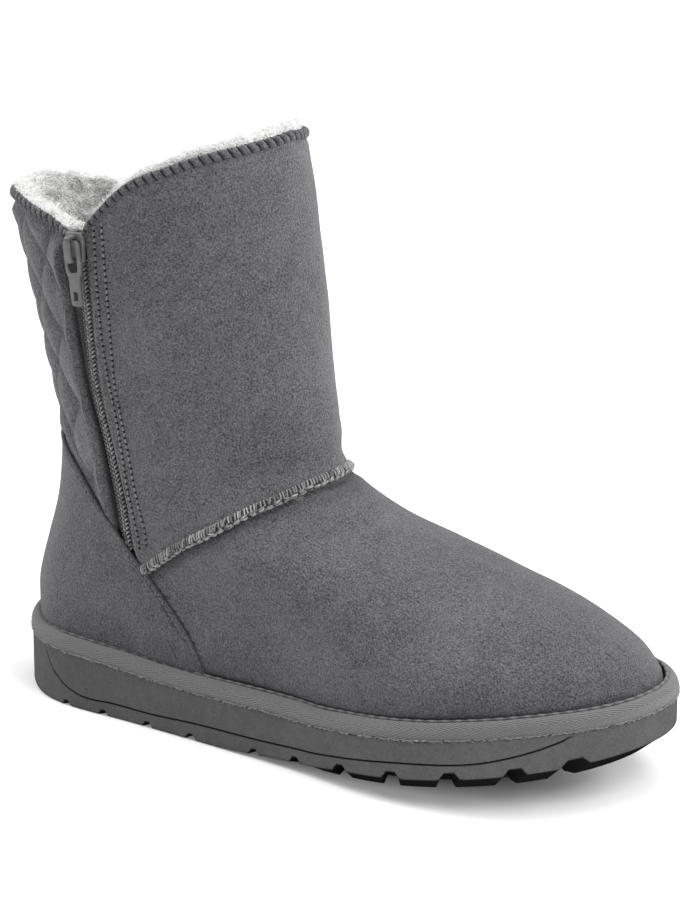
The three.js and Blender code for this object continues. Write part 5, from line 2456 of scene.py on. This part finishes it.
# ---- studio --------------------------------------------------------------------------------
@dataclass(frozen=True)
class Studio:
    """Plain pale floor, soft light and the camera."""

    azimuth: float = 32.0
    elevation: float = 17.86
    distance: float = 1.3897
    target: tuple[float, float, float] = (0.00095, 0.00167, 0.11)
    lens: float = 140.87
    shift: tuple[float, float] = (0.0115, 0.0024)
    floor_half: float = 9.0
    floor_level: float = -0.0002
    glow: float = 0.22
    sky: float = 0.42
    shadow_half: tuple[float, float] = (0.142, 0.052)

    def camera(self) -> None:
        """Camera on a sphere round its target."""
        a, e = math.radians(self.azimuth), math.radians(self.elevation)
        back = np.array([math.sin(a) * math.cos(e), -math.cos(a) * math.cos(e), math.sin(e)])
        data = bpy.data.cameras.new("camera")
        data.lens, data.sensor_width = self.lens, 36.0
        data.shift_x, data.shift_y = self.shift
        data.clip_start, data.clip_end = 0.05, 60.0
        place = np.array(self.target) + back * self.distance
        bpy.context.scene.camera = self.stand("camera", data, place, back)

    def stand(self, name: str, data: bpy.types.ID, place: Array, back: Array) -> bpy.types.Object:
        """Adds a level camera or light.

        Args:
            name: Name of the object.
            data: Its data.
            place: Where it stands.
            back: Unit vector away from what it looks at.

        Returns:
            The object.
        """
        right = unit(np.cross(UP, back))
        matrix = np.eye(4)
        matrix[:3, :3] = np.stack([right, np.cross(back, right), back], 1)
        matrix[:3, 3] = place
        made = bpy.data.objects.new(name, data)
        made.matrix_world = Matrix(matrix.tolist())
        bpy.context.scene.collection.objects.link(made)
        return made

    def light(
        self, name: str, place: tuple[float, float, float], size: float, power: float
    ) -> None:
        """Square soft light that looks at the boot.

        Args:
            name: Name of the light.
            place: Where it stands.
            size: Side of the square in metres.
            power: Power in watts.
        """
        data = bpy.data.lights.new(name, "AREA")
        data.size, data.energy = size, power
        self.stand(name, data, np.array(place), unit(np.array(place) - np.array(self.target)))

    def floor(self) -> None:
        """Large pale floor just under the sole, with a faint painted glow all round the boot that fades to
        none beneath it as a painted shadow.
        """
        half = self.floor_half
        mesh = bpy.data.meshes.new("floor")
        corners = [(-half, -half), (half, -half), (half, half), (-half, half)]
        mesh.from_pydata([(x, y, self.floor_level) for x, y in corners], [], [(0, 1, 2, 3)])
        floor = bpy.data.objects.new("floor", mesh)
        bpy.context.scene.collection.objects.link(floor)
        material = bpy.data.materials.new("floor_paper")
        material.use_nodes = True
        shader = material.node_tree.nodes["Principled BSDF"]
        graph = Graph(material.node_tree)
        place = graph.node("ShaderNodeTexCoord").outputs["Object"]
        parts = graph.node("ShaderNodeSeparateXYZ", {0: place})
        # Painted shadow: the glow fades out inside an ellipse round the boot's footprint.
        far = [
            graph.math("POWER", graph.math("DIVIDE", part, size), 2.0)
            for part, size in zip(parts.outputs, self.shadow_half)
        ]
        glow = graph.spread(graph.math("ADD", *far), 0.3, 0.75)
        colour = graph.mix(glow, (0, 0, 0, 1), (1, 1, 1, 1))
        graph.tree.links.new(colour, shader.inputs["Emission Color"])
        shader.inputs["Base Color"].default_value = (0.72, 0.72, 0.72, 1)
        shader.inputs["Emission Strength"].default_value = self.glow
        shader.inputs["Roughness"].default_value = 0.9
        shader.inputs["Specular IOR Level"].default_value = 0.1
        mesh.materials.append(material)

    def build(self) -> None:
        """Sets up camera, lights, sky and floor."""
        self.camera()
        world = bpy.data.worlds.new("studio")
        world.use_nodes = True
        sky = world.node_tree.nodes["Background"]
        sky.inputs["Color"].default_value = (1, 1, 1, 1)
        sky.inputs["Strength"].default_value = self.sky
        bpy.context.scene.world = world
        self.light("key", (2.1, -0.5, 2.4), 1.6, 72.0)
        self.light("top", (0.3, 0.4, 2.8), 2.2, 52.0)
        self.light("rim", (1.6, 1.8, 1.3), 1.4, 26.0)
        self.light("fill", (-2.2, -0.3, 1.6), 1.2, 46.0)
        self.floor()
        bpy.context.scene.view_settings.view_transform = "Standard"


def main() -> None:
    """Builds the boot's pieces in order, then the studio."""
    logging.basicConfig(level=logging.INFO, format="%(message)s")
    shell = UpperShell()
    shell.build()
    shell.sew()
    shell.quilt_stitches()
    CollarEdge(shell).build()
    lining = FleeceLining()
    lining.build()
    lining.footbed()
    VampSeam().build()
    HeelCounter().build()
    SoleStrip().build()
    Outsole().build()
    ZipChain().build()
    ZipHardware().build()
    Studio().build()


if __name__ == "__main__":
    main()
